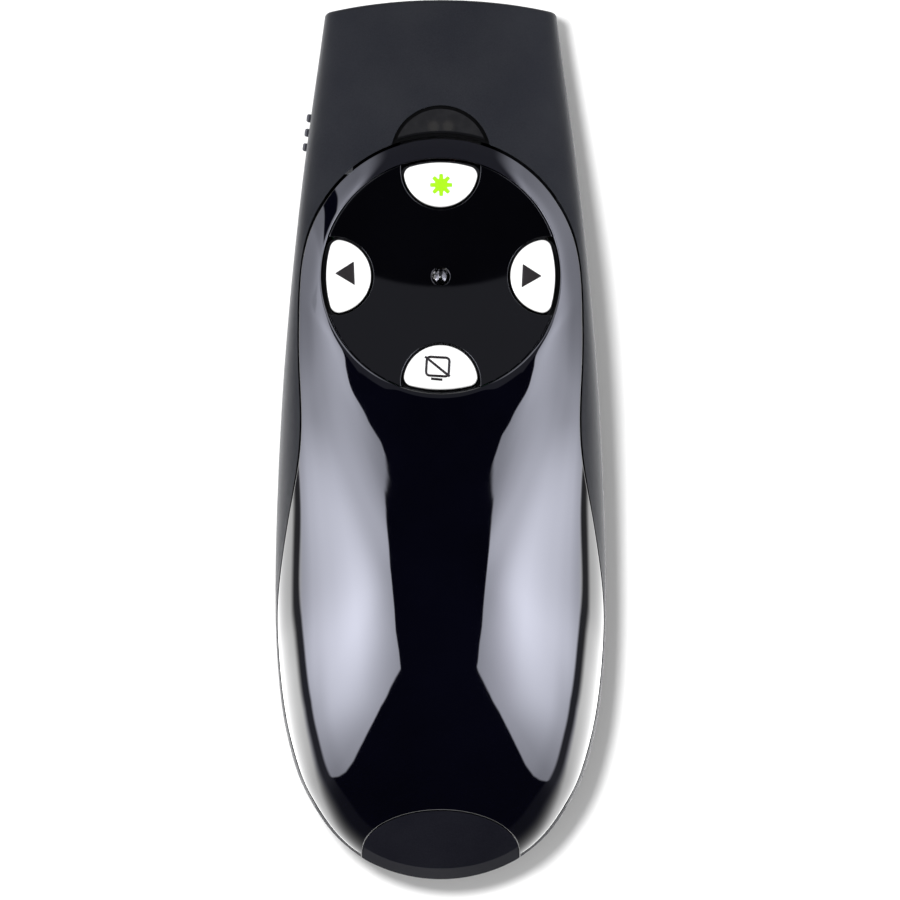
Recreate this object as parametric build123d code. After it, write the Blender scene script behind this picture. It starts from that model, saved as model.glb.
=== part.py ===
from build123d import *
import bisect
import math
import os

# Wireless presentation clicker with a green laser pointer, in millimetres.
# +Y is the nose (laser end), +X the right-hand side seen from above, +Z up.
# Origin: centre of the bounding box's bottom face; the flat underside is z = 0.

# ---------------------------------------------------------------- driving dimensions
LENGTH = 120.0            # nose to tail
HALF_L = LENGTH / 2
NOSE_R = 72.0             # plan radius of the nose's front edge
NOSE_CORNER_R = 1.4
NOSE_EDGE_R = 0.6         # rounding where the nose's front meets its top and bottom
TAIL_R = 21.3             # plan radius of the tail's end
TAIL_CY = TAIL_R - HALF_L

WALL = 2.0                # case wall
SHELL_T = 1.7             # glossy shell thickness (vertical)
SKIRT_T = 1.4             # glossy shell skirt
SEAM = 0.2                # plan gap between glossy shell and case
WAIST_GAP = 0.1           # groove between the two case halves

PANEL_Y = 22.3            # control panel centre
PANEL_Z = 23.0            # height of the panel's rim plane at its centre
PANEL_SLOPE = 0.12        # rim plane falls towards the nose
PANEL_TILT = math.degrees(math.atan(PANEL_SLOPE))
PANEL_HOLE_R = 16.25
PANEL_R = 16.1
RING_R = 18.9             # outer radius of the raised ring
DISH_DEPTH = 0.6

BUTTON_CIRCLE_R = 5.07    # each button: this circle ...
BUTTON_CIRCLE_D = 14.55   # ... centred this far from the panel's centre ...
BUTTON_RIM_R = 15.58      # ... cut by this circle about the panel's centre
BUTTON_CORNER_R = 1.25
BUTTON_EDGE_R = 0.2
BUTTON_GAP = 0.37
BUTTON_TRAVEL = 0.5
SWITCH_D = 12.3           # switch position from the panel's centre

AAA_R = 5.25
AAA_L = 44.5
BATT_X = 5.45
BATT_Z = 7.0
BATT_Y0, BATT_Y1 = -24.5, 20.0

DOOR_X = 11.3
DOOR_TONGUE_X = 12.3
DOOR_Y0, DOOR_Y1 = -44.4, 24.0
DOOR_T = 1.45

ARCH_A, ARCH_B, ARCH_CY = 10.9, 6.05, -56.45   # tail opening, half ellipse
USB_W, USB_H, USB_WALL = 12.0, 4.5, 0.3        # USB-A plug shell
USB_Z = 10.5
USB_Y0, USB_Y1 = -41.5, -29.5

LASER_Z = 9.5
LASER_R = 4.0

SLIDER_Y = 41.9
SLIDER_Z = 10.4

os.makedirs("parts", exist_ok=True)


# ---------------------------------------------------------------- smooth station curves
class Curve:
    """Natural cubic spline through (station, value) pairs."""

    def __init__(self, pairs):
        pairs = sorted(pairs)
        self.x = [float(p[0]) for p in pairs]
        self.y = [float(p[1]) for p in pairs]
        n = len(pairs)
        h = [self.x[i + 1] - self.x[i] for i in range(n - 1)]
        a = [0.0] * n
        b = [1.0] * n
        c = [0.0] * n
        d = [0.0] * n
        for i in range(1, n - 1):
            a[i] = h[i - 1]
            b[i] = 2 * (h[i - 1] + h[i])
            c[i] = h[i]
            d[i] = 6 * ((self.y[i + 1] - self.y[i]) / h[i] - (self.y[i] - self.y[i - 1]) / h[i - 1])
        for i in range(1, n):
            w = a[i] / b[i - 1]
            b[i] -= w * c[i - 1]
            d[i] -= w * d[i - 1]
        m = [0.0] * n
        m[-1] = d[-1] / b[-1]
        for i in range(n - 2, -1, -1):
            m[i] = (d[i] - c[i] * m[i + 1]) / b[i]
        self.m = m

    def __call__(self, t):
        i = min(max(bisect.bisect_right(self.x, t) - 1, 0), len(self.x) - 2)
        h = self.x[i + 1] - self.x[i]
        u = self.x[i + 1] - t
        v = t - self.x[i]
        return (
            (self.m[i] * u ** 3 + self.m[i + 1] * v ** 3) / (6 * h)
            + (self.y[i] / h - self.m[i] * h / 6) * u
            + (self.y[i + 1] / h - self.m[i + 1] * h / 6) * v
        )


# plan half-width of the case
half_w = Curve([
    (62, 15.28), (56, 16.05), (48, 17.18), (40, 18.28), (32, 19.25), (24, 20.1), (16, 20.85),
    (8, 21.47), (0, 21.95), (-8, 22.3), (-15, 22.5), (-22, 22.57), (-28, 22.42), (-34, 21.97),
    (-39, 21.25), (-43, 20.3), (-47, 18.93), (-50.5, 17.0), (-54, 14.4), (-56.8, 11.1), (-59, 7.7), (-61, 4.2),
])
# plan half-width of the glossy shell behind the panel's centre
shell_w = Curve([
    (24, 18.85), (20, 19.1), (15, 19.3), (9.7, 19.22), (4, 18.98), (-1, 19.12), (-5, 19.62), (-9.5, 20.42),
    (-13, 21.0), (-16.4, 21.5), (-20, 21.93), (-23.4, 22.13), (-28, 22.02), (-34, 21.5), (-39, 20.72),
    (-43, 19.73), (-47, 18.33), (-50.5, 16.38), (-54, 13.75), (-56.8, 10.5), (-59, 7.2),
])
# height of the widest line, where the two case halves meet
waist_z = Curve([(64, 9.1), (50, 9.5), (35, 10.2), (20, 11.0), (5, 11.65), (-10, 12.15), (-25, 12.45), (-38, 12.3),
                 (-48, 11.8), (-56, 11.2), (-62, 10.8)])
# crown height of the case and of the glossy shell
crown_z = Curve([(63, 14.1), (56, 16.0), (50, 17.4), (45, 18.4), (40, 19.3), (34, 20.4), (28, 21.6), (22, 22.7),
                 (14, 24.1), (6, 25.3), (-2, 26.35), (-10, 27.05), (-18, 27.35), (-26, 27.1), (-34, 26.1),
                 (-40, 24.85), (-46, 22.75), (-51, 20.1), (-55, 17.4), (-59, 14.3), (-62, 11.9)])
crown_add = Curve([(64, 0.3), (40, 0.3), (20, 0.3), (5, 0.28), (-5, 0.16), (-15, 0.06), (-25, 0.02), (-62, 0.02)])
# section squareness of the case and of the glossy shell
square_case = Curve([(64, 3.2), (52, 3.4), (44, 3.8), (38, 4.4), (32, 5.1), (27, 5.55), (22, 5.5), (15, 4.6), (8, 3.8),
                     (2, 3.2), (-4, 2.75), (-11, 2.38), (-18, 2.15), (-26, 2.03), (-36, 2.0), (-62, 2.0)])
square_add = Curve([(64, 0.6), (25, 0.6), (12, 0.5), (2, 0.3), (-8, 0.1), (-16, 0.03), (-26, 0.0), (-62, 0.0)])
# lowest line; negative stations are cut off by the flat underside
keel_z = Curve([(64, 5.0), (59, 3.75), (53, 2.2), (47, 0.95), (41, 0.05), (35, -0.5), (26, -0.8), (0, -0.9),
                (-24, -0.85), (-33, -0.6), (-38, -0.15), (-42, 0.55), (-46, 1.45), (-50, 2.6), (-54, 3.9), (-58, 5.3), (-62, 6.8)])
# height of the rebate in the case that the glossy shell's skirt sits in
seat_z = Curve([(64, 15.6), (50, 15.8), (38, 16.2), (32, 17.2), (26, 18.3), (18, 19.2), (8, 19.8), (2, 19.4), (-5, 18.3),
                (-11, 17.0), (-17, 15.45), (-23, 14.2), (-30, 13.7), (-40, 13.45), (-50, 12.8), (-60, 12.0)])


def supersection(x, w, h, n):
    q = min(abs(x) / w, 1.0)
    return h * (1 - q ** n) ** (1 / n)


def ring_drop(rho):
    if rho < -3:
        rho = -3
    if rho < 2.65:
        return 0.30 * rho + 0.09 * rho * rho
    return 0.30 * 2.65 + 0.09 * 2.65 ** 2 + 0.777 * (rho - 2.65)


def smooth01(t):
    t = min(max(t, 0.0), 1.0)
    return t * t * t * (t * (6 * t - 15) + 10)


def soft_min(a, b, k=0.5):
    m = min(a, b)
    return m - k * math.log(math.exp(-(a - m) / k) + math.exp(-(b - m) / k))


def panel_plane(y):
    return PANEL_Z + PANEL_SLOPE * (PANEL_Y - y)


def shell_top(x, y):
    """Outer surface of the glossy shell: a dome behind, a bevelled ring round the panel in front."""
    w = half_w(y)
    zp = waist_z(y)
    h = crown_z(y) + crown_add(y) + 0.75 * smooth01((y - 2) / 18) - zp
    dome = zp + supersection(x, w, h, square_case(y) + square_add(y))
    r = math.hypot(x, y - PANEL_Y)
    phi = math.degrees(math.atan2(abs(x), y - PANEL_Y)) if r > 1e-9 else 0.0
    a = 1 - smooth01((phi - 80) / 60)
    rho = r - PANEL_HOLE_R
    rim = panel_plane(y) - a * ring_drop(rho) + (1 - a) * (0.45 * max(rho, -3) + 1.2)
    lift = 0.02 + 0.23 * smooth01((y + 8) / 20)
    return soft_min(dome + lift, rim + 0.02, 0.22)


# ---------------------------------------------------------------- helpers
def box(x0, x1, y0, y1, z0, z1):
    return Pos((x0 + x1) / 2, (y0 + y1) / 2, (z0 + z1) / 2) * Box(x1 - x0, y1 - y0, z1 - z0)


def cyl_z(x, y, r, z0, z1):
    return Pos(x, y, (z0 + z1) / 2) * Cylinder(r, z1 - z0)


def cyl_y(x, z, r, y0, y1):
    return Pos(x, (y0 + y1) / 2, z) * Rot(90, 0, 0) * Cylinder(r, y1 - y0)


def tube_y(x, z, r_out, r_in, y0, y1):
    return cyl_y(x, z, r_out, y0, y1) - cyl_y(x, z, r_in, y0 - 1, y1 + 1)


def envelope(inset, y_front, y_back, top=crown_z, stations=None):
    """Closed pebble through superelliptic sections, drawn in by inset."""
    top_n, low_n = 25, 21
    faces = []
    for y in stations:
        if not (y_back <= y <= y_front):
            continue
        w = half_w(y) - inset
        zp = waist_z(y)
        h = top(y) - inset - zp
        d = zp - keel_z(y) - inset
        n = square_case(y)
        up, low = [], []
        for i in range(top_n):
            t = math.pi * (i / (top_n - 1)) - math.pi / 2
            s, c = math.sin(t), math.cos(t)
            r = (abs(s) ** n + abs(c) ** n) ** (-1 / n)
            up.append((w * s * r, y, zp + h * c * r) if 0 < i < top_n - 1 else (w * s, y, zp))
        nl = 3.0
        for i in range(low_n):
            t = math.pi / 2 - math.pi * (i / (low_n - 1))
            s, c = math.sin(t), math.cos(t)
            r = (abs(s) ** nl + abs(c) ** nl) ** (-1 / nl)
            low.append((w * s * r, y, zp - d * c * r) if 0 < i < low_n - 1 else (w * s, y, zp))
        e1 = Edge.make_spline(up, parameters=[i / (top_n - 1) for i in range(top_n)])
        e2 = Edge.make_spline(low, parameters=[i / (low_n - 1) for i in range(low_n)])
        faces.append(Wire([e1, e2]))
    return Solid.make_loft(faces)


def height_solid(fn, width, stations, floor=-10.0, n=33):
    """Everything below the surface z = fn(x, y) over a strip whose half-width is width(y)."""
    wires = []
    for y in stations:
        w = width(y)
        pts = []
        for i in range(n):
            x = w * math.sin((-1 + 2 * i / (n - 1)) * math.pi / 2)
            pts.append((x, y, fn(x, y)))
        top = Edge.make_spline(pts, parameters=[i / (n - 1) for i in range(n)])
        side_r = Edge.make_line(pts[-1], (w, y, floor))
        base = Edge.make_line((w, y, floor), (-w, y, floor))
        side_l = Edge.make_line((-w, y, floor), pts[0])
        wires.append(Wire([top, side_r, base, side_l]))
    return Solid.make_loft(wires)


def above(curve, lift=0.0, top=60.0):
    """Everything above a side-view line."""
    pts = [(0, y, curve(y) + lift) for y in range(-62, 63, 4)]
    line = Edge.make_spline(pts)
    poly = Polyline((0, 62, curve(62) + lift), (0, 62, top), (0, -62, top), (0, -62, curve(-62) + lift))
    face = Face(Wire([line] + list(poly.edges())))
    return Pos(-30, 0, 0) * Solid.extrude(face, Vector(60, 0, 0))


def shell_outline(grow=0.0, back=-58.6):
    """Plan outline of the glossy shell: a circular front, then the two long flanks."""
    r = RING_R + grow
    start = 22.3
    n = 14
    front = [(r * math.sin(math.radians(a)), PANEL_Y + r * math.cos(math.radians(a))) for a in (78, 40, 0, -40, -78)]
    ys = [15, 10, 5, 0, -5, -9.5, -14, -18, -22, -26, -31, -36, -40, -44, -48, -51.5, -54.5, back]
    right = [(shell_w(y) + grow, y) for y in ys]
    arc = ThreePointArc(front[0], front[2], front[4])
    tan_r = Vector(math.cos(math.radians(78)), -math.sin(math.radians(78)))
    slope = (shell_w(back + 0.1) - shell_w(back - 0.1)) / 0.2
    tan_b = Vector(-slope, -1).normalized()
    right_edge = Spline(*([front[0]] + right), tangents=[tan_r, tan_b])
    left = [(-x, y) for x, y in right]
    left_edge = Spline(*([front[4]] + left), tangents=[Vector(-tan_r.X, tan_r.Y), Vector(-tan_b.X, tan_b.Y)])
    back_edge = Line(right[-1], left[-1])
    return Face(Wire([arc.edge(), right_edge.edge(), back_edge.edge(), left_edge.edge()]))


def prism(face, z0, z1):
    return Pos(0, 0, z0) * extrude(face, amount=z1 - z0, dir=(0, 0, 1))


def arch_face(shrink=0.0):
    a, b = ARCH_A - shrink, ARCH_B - shrink
    return (Pos(0, ARCH_CY) * Ellipse(a, b)) + (Pos(0, (ARCH_CY - 66) / 2) * Rectangle(2 * a, 66 + ARCH_CY))


def single(shape):
    solids = shape.solids()
    return max(solids, key=lambda s: s.volume)


def save(shape, name, many=False):
    solids = shape.solids() if hasattr(shape, "solids") else [shape]
    solids = sorted(solids, key=lambda s: -s.volume)
    if not many:
        out = solids[0]
        if len(solids) > 1:
            print(f"{name}: kept 1 of {len(solids)} solids, dropped {sum(s.volume for s in solids[1:]):.4f} mm3")
            for extra in solids:
                b = extra.bounding_box()
                print("   ", round(extra.volume, 2), [round(v, 2) for v in (b.min.X, b.max.X, b.min.Y, b.max.Y, b.min.Z, b.max.Z)])
    else:
        out = Compound(solids)
    export_step(out, f"parts/{name}.step")
    return out


PANEL = Location((0, PANEL_Y, PANEL_Z), (-PANEL_TILT, 0, 0))


def on_panel(shape):
    return PANEL * shape


# ---------------------------------------------------------------- body envelopes
outer_stations = [62, 58, 54, 50, 46, 42, 38, 34, 30, 26, 22, 18, 14, 10, 6, 2, -2, -6, -10, -14, -18, -22, -26, -30,
                  -34, -38, -42, -45.5, -48.5, -51.5, -54, -56.5, -58.6, -60.4]
outer = envelope(0.0, 70, -70, stations=outer_stations)
inner_stations = [57.8, 54, 50, 46, 42, 38, 34, 30, 26, 22, 18, 14, 10, 6, 2, -2, -6, -10, -14, -18, -22, -26, -30,
                  -34, -38, -42, -46]
inner = envelope(WALL, 70, -70, stations=inner_stations)

# plan trims: nose arc with rounded corners, and the domed tail end
nose_side = 15.55 + 0.10
nose_poly = Polygon((-17.05, 49.9), (17.05, 49.9), (nose_side - 0.33, 63), (-(nose_side - 0.33), 63), align=None)
nose_disc = Pos(0, HALF_L - NOSE_R) * Circle(NOSE_R)
nose_face = nose_poly & nose_disc
nose_corners = [v for v in nose_face.vertices() if v.Y > 55]
nose_face = fillet(nose_corners, NOSE_CORNER_R)
nose_keep = extrude(nose_face, amount=60) + box(-40, 40, -70, 50, 0, 60)

cone_hi = Pos(0, TAIL_CY, 10.8 + 8) * Cone(TAIL_R, TAIL_R - 16 * 0.39, 16)
cone_lo = Pos(0, TAIL_CY, 10.8 - 6) * Cone(TAIL_R - 12 * 0.2, TAIL_R, 12)
tail_keep = cone_hi + cone_lo + box(-40, 40, -50, 70, -10, 60)

body = (outer & nose_keep) & tail_keep
body = body & box(-40, 40, -70, 70, 0, 60)
body = single(body)
nose_edges = [e for e in body.edges() if e.bounding_box().max.Y > 59 and e.bounding_box().min.Z > 12.5]
body = body.fillet(NOSE_EDGE_R, nose_edges)
print("body", body.volume, body.bounding_box())

waist_low = above(waist_z, -WAIST_GAP / 2)
waist_high = above(waist_z, WAIST_GAP / 2)
arch_cut = prism(arch_face(0.0), -5, 45)
arch_in = prism(arch_face(0.13), -5, 45)

# ---------------------------------------------------------------- glossy top shell
shell_stations = [43 - 1.75 * i for i in range(59)]
roof = height_solid(shell_top, lambda y: 0.993 * half_w(y), shell_stations)
under = height_solid(lambda x, y: shell_top(x, y) - SHELL_T, lambda y: 0.993 * half_w(y), shell_stations)
shell_prism = prism(shell_outline(0.0), 5, 45)
skirt_prism = prism(shell_outline(-SKIRT_T), 0, 45)
shell = (roof & shell_prism) & above(seat_z, 0.06)
shell = shell - (under & skirt_prism)
shell = shell - on_panel(Cylinder(PANEL_HOLE_R, 60))
shell = shell - arch_cut
save(shell, "top_shell")

# ---------------------------------------------------------------- status window in the nose
WINDOW_Y, WINDOW_HOLE_R, WINDOW_R = 38.74, 6.85, 6.35
window_hole = cyl_z(0, WINDOW_Y, WINDOW_HOLE_R, 14.5, 30)
lens = (Pos(0, 0, -0.12) * body) & cyl_z(0, WINDOW_Y, WINDOW_R, 16.75, 30)
lens = lens - cyl_z(0, PANEL_Y, 19.5, 0, 40)
save(lens, "status_window")
gasket = (Pos(0, 0, -0.45) * body) & cyl_z(0, WINDOW_Y, WINDOW_HOLE_R, 16.75, 30)
gasket = gasket - cyl_z(0, PANEL_Y, RING_R + SEAM, 0, 40)
gasket = gasket - (cyl_z(0, WINDOW_Y, WINDOW_R, 10, 30) - cyl_z(0, PANEL_Y, 19.5, 0, 40))
save(gasket, "window_gasket")

# ---------------------------------------------------------------- slide switch frame on the left flank
SLIDER_TRAVEL = 2.0
slope = (half_w(SLIDER_Y + 1) - half_w(SLIDER_Y - 1)) / 2
flank_angle = math.degrees(math.atan(slope))          # the flank turns by this in plan
FLANK = Location((-half_w(SLIDER_Y), SLIDER_Y, SLIDER_Z), (0, 0, flank_angle))
print("flank", FLANK, "slider axis", (-math.sin(math.radians(-flank_angle)), -math.cos(math.radians(flank_angle))))


def on_flank(shape):
    return FLANK * shape


slider_slot = on_flank(box(-1.5, 2.6, -3.25 - SLIDER_TRAVEL, 3.25, -1.35, 1.35))

# ---------------------------------------------------------------- fasteners' places
SCREWS = [(12.6, 49.5), (-12.6, 49.5), (16.6, -33.5), (-16.6, -33.5)]
SCREW_HEAD_Z = 5.5

# ---------------------------------------------------------------- upper case
upper = body & waist_high
upper = upper - inner
upper = upper - (prism(shell_outline(SEAM), 5, 45) & above(seat_z))
upper = upper - arch_cut - box(-9.95, 9.95, -50.45, -28, 0, 16.05) - box(-8.35, 8.35, -54.7, -29.2, 6.35, 14.65)
posts = []
for x, y in SCREWS:
    top = 16.0 if y > 0 else 17.3
    post = cyl_z(x, y, 2.4, waist_z(y) + 0.25, top)
    if y < 0:
        post = post + box(min(x, math.copysign(20.7, x)), max(x, math.copysign(20.7, x)), y - 1, y + 1, waist_z(y) + 0.25, 13.5)
    posts.append(post & body)
for post in posts:
    upper = upper + post
for side in (-1, 1):
    hanger = box(min(4.6 * side, 5.6 * side), max(4.6 * side, 5.6 * side), 45.2, 46.4, 15.7, 17.6) & body
    upper = upper + hanger
clamp = box(-3, 3, 49, 50.4, LASER_Z + LASER_R + 0.05, 16.5) & body
upper = upper + clamp
for x, y in SCREWS:
    upper = upper - cyl_z(x, y, 0.9, 5, 13.6)
upper = upper - window_hole - slider_slot
upper = upper - cyl_y(0, LASER_Z, 3.65, 57, 62)
upper = upper - cyl_y(0, LASER_Z, LASER_R + 0.05, 40, 57.4)
save(upper, "upper_case")

# ---------------------------------------------------------------- lower case
tub = body - waist_low
lower = tub - inner
floor = box(-14, 14, -46.5, 26, 0, 2.9) & tub
walls = box(-12.3, 12.3, -28.2, 23.6, 0.5, 10.2) - box(-11.0, 11.0, -26.9, 22.4, 0, 11)
bay = box(-9.8, 9.8, -50.3, -28.2, 4.9, 15.9)
bay_webs = box(-9.8, -8.4, -47, -28.2, 1.8, 5.5) + box(8.4, 9.8, -47, -28.2, 1.8, 5.5)
lower = lower + floor + walls + bay + bay_webs
for x, y in SCREWS:
    lower = lower + (cyl_z(x, y, 3.0, 0, waist_z(y) - 0.1) & tub)
for y in (45.0, 53.2):
    lower = lower + (box(-5.2, 5.2, y, y + 1.3, 0, LASER_Z) & tub)
lower = lower + (box(-13.6, -11.2, 39.6, 42.8, 0.5, 8.1) & tub)
lower = lower + (box(-4.2, 4.2, 39.4, 40.6, 0.5, 9.05) & tub)
for x, y in SCREWS:
    lower = lower - cyl_z(x, y, 1.1, -1, 14) - cyl_z(x, y, 2.2, -1, SCREW_HEAD_Z)
lower = lower - box(-11.45, 11.45, -62, DOOR_Y1 + 0.2, -2, 1.6)
lower = lower - box(-12.45, 12.45, -62, DOOR_Y1 + 0.2, 0.6, 1.6)
lower = lower - box(-11.0, 11.0, -26.9, 22.4, 1.0, 4)
lower = lower - box(-8.35, 8.35, -54.7, -29.2, 6.35, 14.65)
lower = lower - arch_cut - slider_slot
lower = lower - cyl_y(0, LASER_Z, 3.65, 57, 62) - cyl_y(0, LASER_Z, LASER_R + 0.03, 40, 57.4)
save(lower, "lower_case")

# ---------------------------------------------------------------- battery door
door = body & box(-DOOR_X, DOOR_X, DOOR_Y0, DOOR_Y1, -1, DOOR_T)
door = door + box(-DOOR_TONGUE_X, -DOOR_X + 0.5, -40.5, DOOR_Y1, 0.75, DOOR_T)
door = door + box(DOOR_X - 0.5, DOOR_TONGUE_X, -40.5, DOOR_Y1, 0.75, DOOR_T)
for i in range(5):
    door = door - box(-6.5, 6.5, -36.4 + 1.6 * i, -35.6 + 1.6 * i, -1, 0.45)
save(door, "battery_door")

# ---------------------------------------------------------------- USB receiver
cap = body & arch_in
cap = cap - box(-8.2, 8.2, -54.0, -49, 6.5, 14.5)
save(cap, "receiver_cap")
rbody = box(-8.2, 8.2, -54.0, USB_Y0, 6.5, 14.5) - box(-7.2, 7.2, -53.2, USB_Y0 - 1.0, 7.4, 13.6)
rbody = rbody - box(-USB_W / 2, USB_W / 2, USB_Y0 - 2, USB_Y0 + 1, USB_Z - USB_H / 2, USB_Z + USB_H / 2)
save(rbody, "receiver_body")
plug = box(-USB_W / 2, USB_W / 2, USB_Y0 - 2.0, USB_Y1, USB_Z - USB_H / 2, USB_Z + USB_H / 2)
plug = fillet(plug.edges().filter_by(Axis.Y), 0.5)
bore = box(-USB_W / 2 + USB_WALL, USB_W / 2 - USB_WALL, USB_Y0 - 3, USB_Y1 + 1, USB_Z - USB_H / 2 + USB_WALL, USB_Z + USB_H / 2 - USB_WALL)
bore = fillet(bore.edges().filter_by(Axis.Y), 0.25)
plug = plug - bore
for x in (-2.7, 2.7):
    plug = plug - box(x - 1.25, x + 1.25, -36.2, -34.2, USB_Z, USB_Z + 5)
save(plug, "usb_shell")
tongue = box(-5.5, 5.5, USB_Y0 - 1.8, USB_Y1 - 0.6, USB_Z - 1.93, USB_Z - 0.1)
save(tongue, "usb_insulator")
contacts = [box(x - w / 2, x + w / 2, USB_Y0 - 1.6, USB_Y1 - 1.4, USB_Z - 0.1, USB_Z + 0.05)
            for x, w in ((-3.5, 1.2), (-1.0, 1.0), (1.0, 1.0), (3.5, 1.2))]
save(Compound(children=[c.solid() for c in contacts]), "usb_contacts", many=True)
save(box(-6.6, 6.6, -53.0, USB_Y0 - 2.1, USB_Z - 0.6, USB_Z), "receiver_pcb")
save(box(-2.5, 2.5, -50.0, -45.2, USB_Z, USB_Z + 0.9), "receiver_chip")

# ---------------------------------------------------------------- batteries and their contacts
for name, x, plus in (("battery_left", -BATT_X, 1), ("battery_right", BATT_X, -1)):
    y0, y1 = BATT_Y0, BATT_Y1
    if plus > 0:
        cell = cyl_y(x, BATT_Z, AAA_R, y0, y1 - 0.8) + cyl_y(x, BATT_Z, 1.9, y1 - 1, y1)
    else:
        cell = cyl_y(x, BATT_Z, AAA_R, y0 + 0.8, y1) + cyl_y(x, BATT_Z, 1.9, y0, y0 + 1)
    save(cell, name)
rear_plate = box(-10.2, 10.2, -26.88, -26.6, 3.4, 10.6) + cyl_y(BATT_X, BATT_Z, 2.2, -26.7, BATT_Y0 - 0.02)
front_left = box(-10.2, -0.8, 22.1, 22.38, 3.4, 10.6) + cyl_y(-BATT_X, BATT_Z, 2.2, BATT_Y1 + 0.02, 22.2)
front_right = box(0.8, 10.2, 22.1, 22.38, 3.4, 10.6)
save(Compound(children=[rear_plate.solid(), front_left.solid(), front_right.solid()]), "battery_contacts", many=True)


def cone_spring(x, y_base, y_tip):
    length = abs(y_tip - y_base)
    path = Helix(pitch=length / 2.25, height=length, radius=3.5, cone_angle=-45)
    start = path @ 0
    wire = Plane(start, z_dir=path % 0) * Circle(0.2)
    coil = sweep(wire, path=path, is_frenet=True)
    turn = -90 if y_tip > y_base else 90
    return Pos(x, y_base, BATT_Z) * Rot(turn, 0, 0) * coil


spring_a = cone_spring(-BATT_X, -26.39, -24.72)
spring_b = cone_spring(BATT_X, 21.89, 20.22)
save(Compound(children=[spring_a.solid(), spring_b.solid()]), "battery_springs", many=True)

# ---------------------------------------------------------------- control panel, in its own tilted frame
def ring_local(r_out, r_in, z0, z1):
    return cyl_z(0, 0, r_out, z0, z1) - cyl_z(0, 0, r_in, z0 - 1, z1 + 1)


DISH_R = (16.0 ** 2 + DISH_DEPTH ** 2) / (2 * DISH_DEPTH)
dish = Pos(0, 0, DISH_R - DISH_DEPTH) * Sphere(DISH_R)
plate = cyl_z(0, 0, PANEL_R, -2.9, 0.0) - dish
notch = cyl_z(0, BUTTON_CIRCLE_D, BUTTON_CIRCLE_R + BUTTON_GAP, -4, 1)
for k in range(4):
    plate = plate - Rot(0, 0, 90 * k) * notch
plate = plate + ring_local(17.3, 15.95, -2.9, -2.1)
for sx in (-1, 1):
    for sy in (-1, 1):
        plate = plate + cyl_z(9.0 * sx, 9.0 * sy, 2.0, -8.9, -2.5)
for sx in (-1, 1):
    for sy in (-1, 1):
        plate = plate - cyl_z(9.0 * sx, 9.0 * sy, 0.66, -10, -4.4)
plate = plate - cyl_z(0, 0, 1.27, -4, 1)
save(on_panel(single(plate)), "control_panel")

# ---------------------------------------------------------------- buttons
lens_face = (Pos(0, BUTTON_CIRCLE_D) * Circle(BUTTON_CIRCLE_R)) & Circle(BUTTON_RIM_R)
lens_face = fillet(lens_face.vertices(), BUTTON_CORNER_R)
flange_face = offset(lens_face, amount=0.6, kind=Kind.ARC)
CROWN_R = 24.0
button = extrude(lens_face, amount=4.5)
button = Pos(0, 0, -3.1) * button
button = button & (Pos(0, 12.6, 0.22 - CROWN_R) * Sphere(CROWN_R))
rim_edges = [e for e in button.edges() if e.center().Z > -1.5]
button = fillet(rim_edges, BUTTON_EDGE_R)
button = button + Pos(0, 0, -3.7) * extrude(flange_face, amount=0.62)
button = button + cyl_z(0, SWITCH_D, 2.0, -5.2, -3.5)
button = single(button)
for k, name in enumerate(("laser_button", "previous_button", "blank_button", "next_button")):
    save(on_panel(Rot(0, 0, 90 * k) * button), name)

# ---------------------------------------------------------------- switches and the main board
switch = box(-3, 3, SWITCH_D - 3, SWITCH_D + 3, -8.9, -6.0) - cyl_z(0, SWITCH_D, 1.75, -7.9, -5)
plunger = cyl_z(0, SWITCH_D, 1.63, -7.1, -5.2)
save(Compound(children=[on_panel(Rot(0, 0, 90 * k) * switch).solid() for k in range(4)]), "button_switches", many=True)
for k, name in enumerate(("laser_switch_plunger", "previous_switch_plunger", "blank_switch_plunger", "next_switch_plunger")):
    save(on_panel(Rot(0, 0, 90 * k) * plunger), name)
board = cyl_z(0, 0, 16.0, -9.8, -8.9) + box(-12, 12, -33, 0, -9.8, -8.9)
for sx in (-1, 1):
    for sy in (-1, 1):
        board = board - cyl_z(9.0 * sx, 9.0 * sy, 0.8, -11, -8)
save(on_panel(single(board)), "main_pcb")
screws = []
for sx in (-1, 1):
    for sy in (-1, 1):
        screws.append(on_panel(cyl_z(9.0 * sx, 9.0 * sy, 1.4, -10.7, -9.8) + cyl_z(9.0 * sx, 9.0 * sy, 0.6, -9.9, -5.0)).solid())
save(Compound(children=screws), "panel_screws", many=True)
save(on_panel(box(-2.5, 2.5, -24.5, -19.5, -8.9, -8.0)), "radio_chip")
save(on_panel(box(-9.5, -4.5, -31, -26, -8.9, -7.9)), "processor_chip")
save(on_panel(box(3.0, 6.2, -29, -26.5, -8.9, -8.1)), "crystal")
caps = [on_panel(box(x, x + 1.6, y, y + 0.8, -8.9, -8.1)).solid() for x, y in ((5, -21), (5, -23.5), (-7, -22), (-7, -19.5), (8.2, -28), (-1, -29))]
save(Compound(children=caps), "pcb_capacitors", many=True)
save(on_panel(box(-0.8, 0.8, -0.6, 0.6, -8.9, -8.3)), "indicator_led")
pipe = cyl_z(0, 0, 1.17, -3.5, -0.2) & (Pos(0, 0, -0.7 - 1.6) * Sphere(1.6) + box(-2, 2, -2, 2, -4, -1.6))
pipe = pipe + cyl_z(0, 0, 1.9, -3.3, -2.95) + cyl_z(0, 0, 0.95, -8.2, -3.0)
save(on_panel(single(pipe)), "indicator_lens")

# ---------------------------------------------------------------- status LEDs in the nose
save(box(-5.5, 5.5, 40.2, 46.4, 14.9, 15.7), "led_board")
leds = [box(x - 0.8, x + 0.8, 42.35, 43.55, 15.7, 16.45) for x in (-1.2, 1.2)]
save(Compound(children=[e.solid() for e in leds]), "status_leds", many=True)

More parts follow.
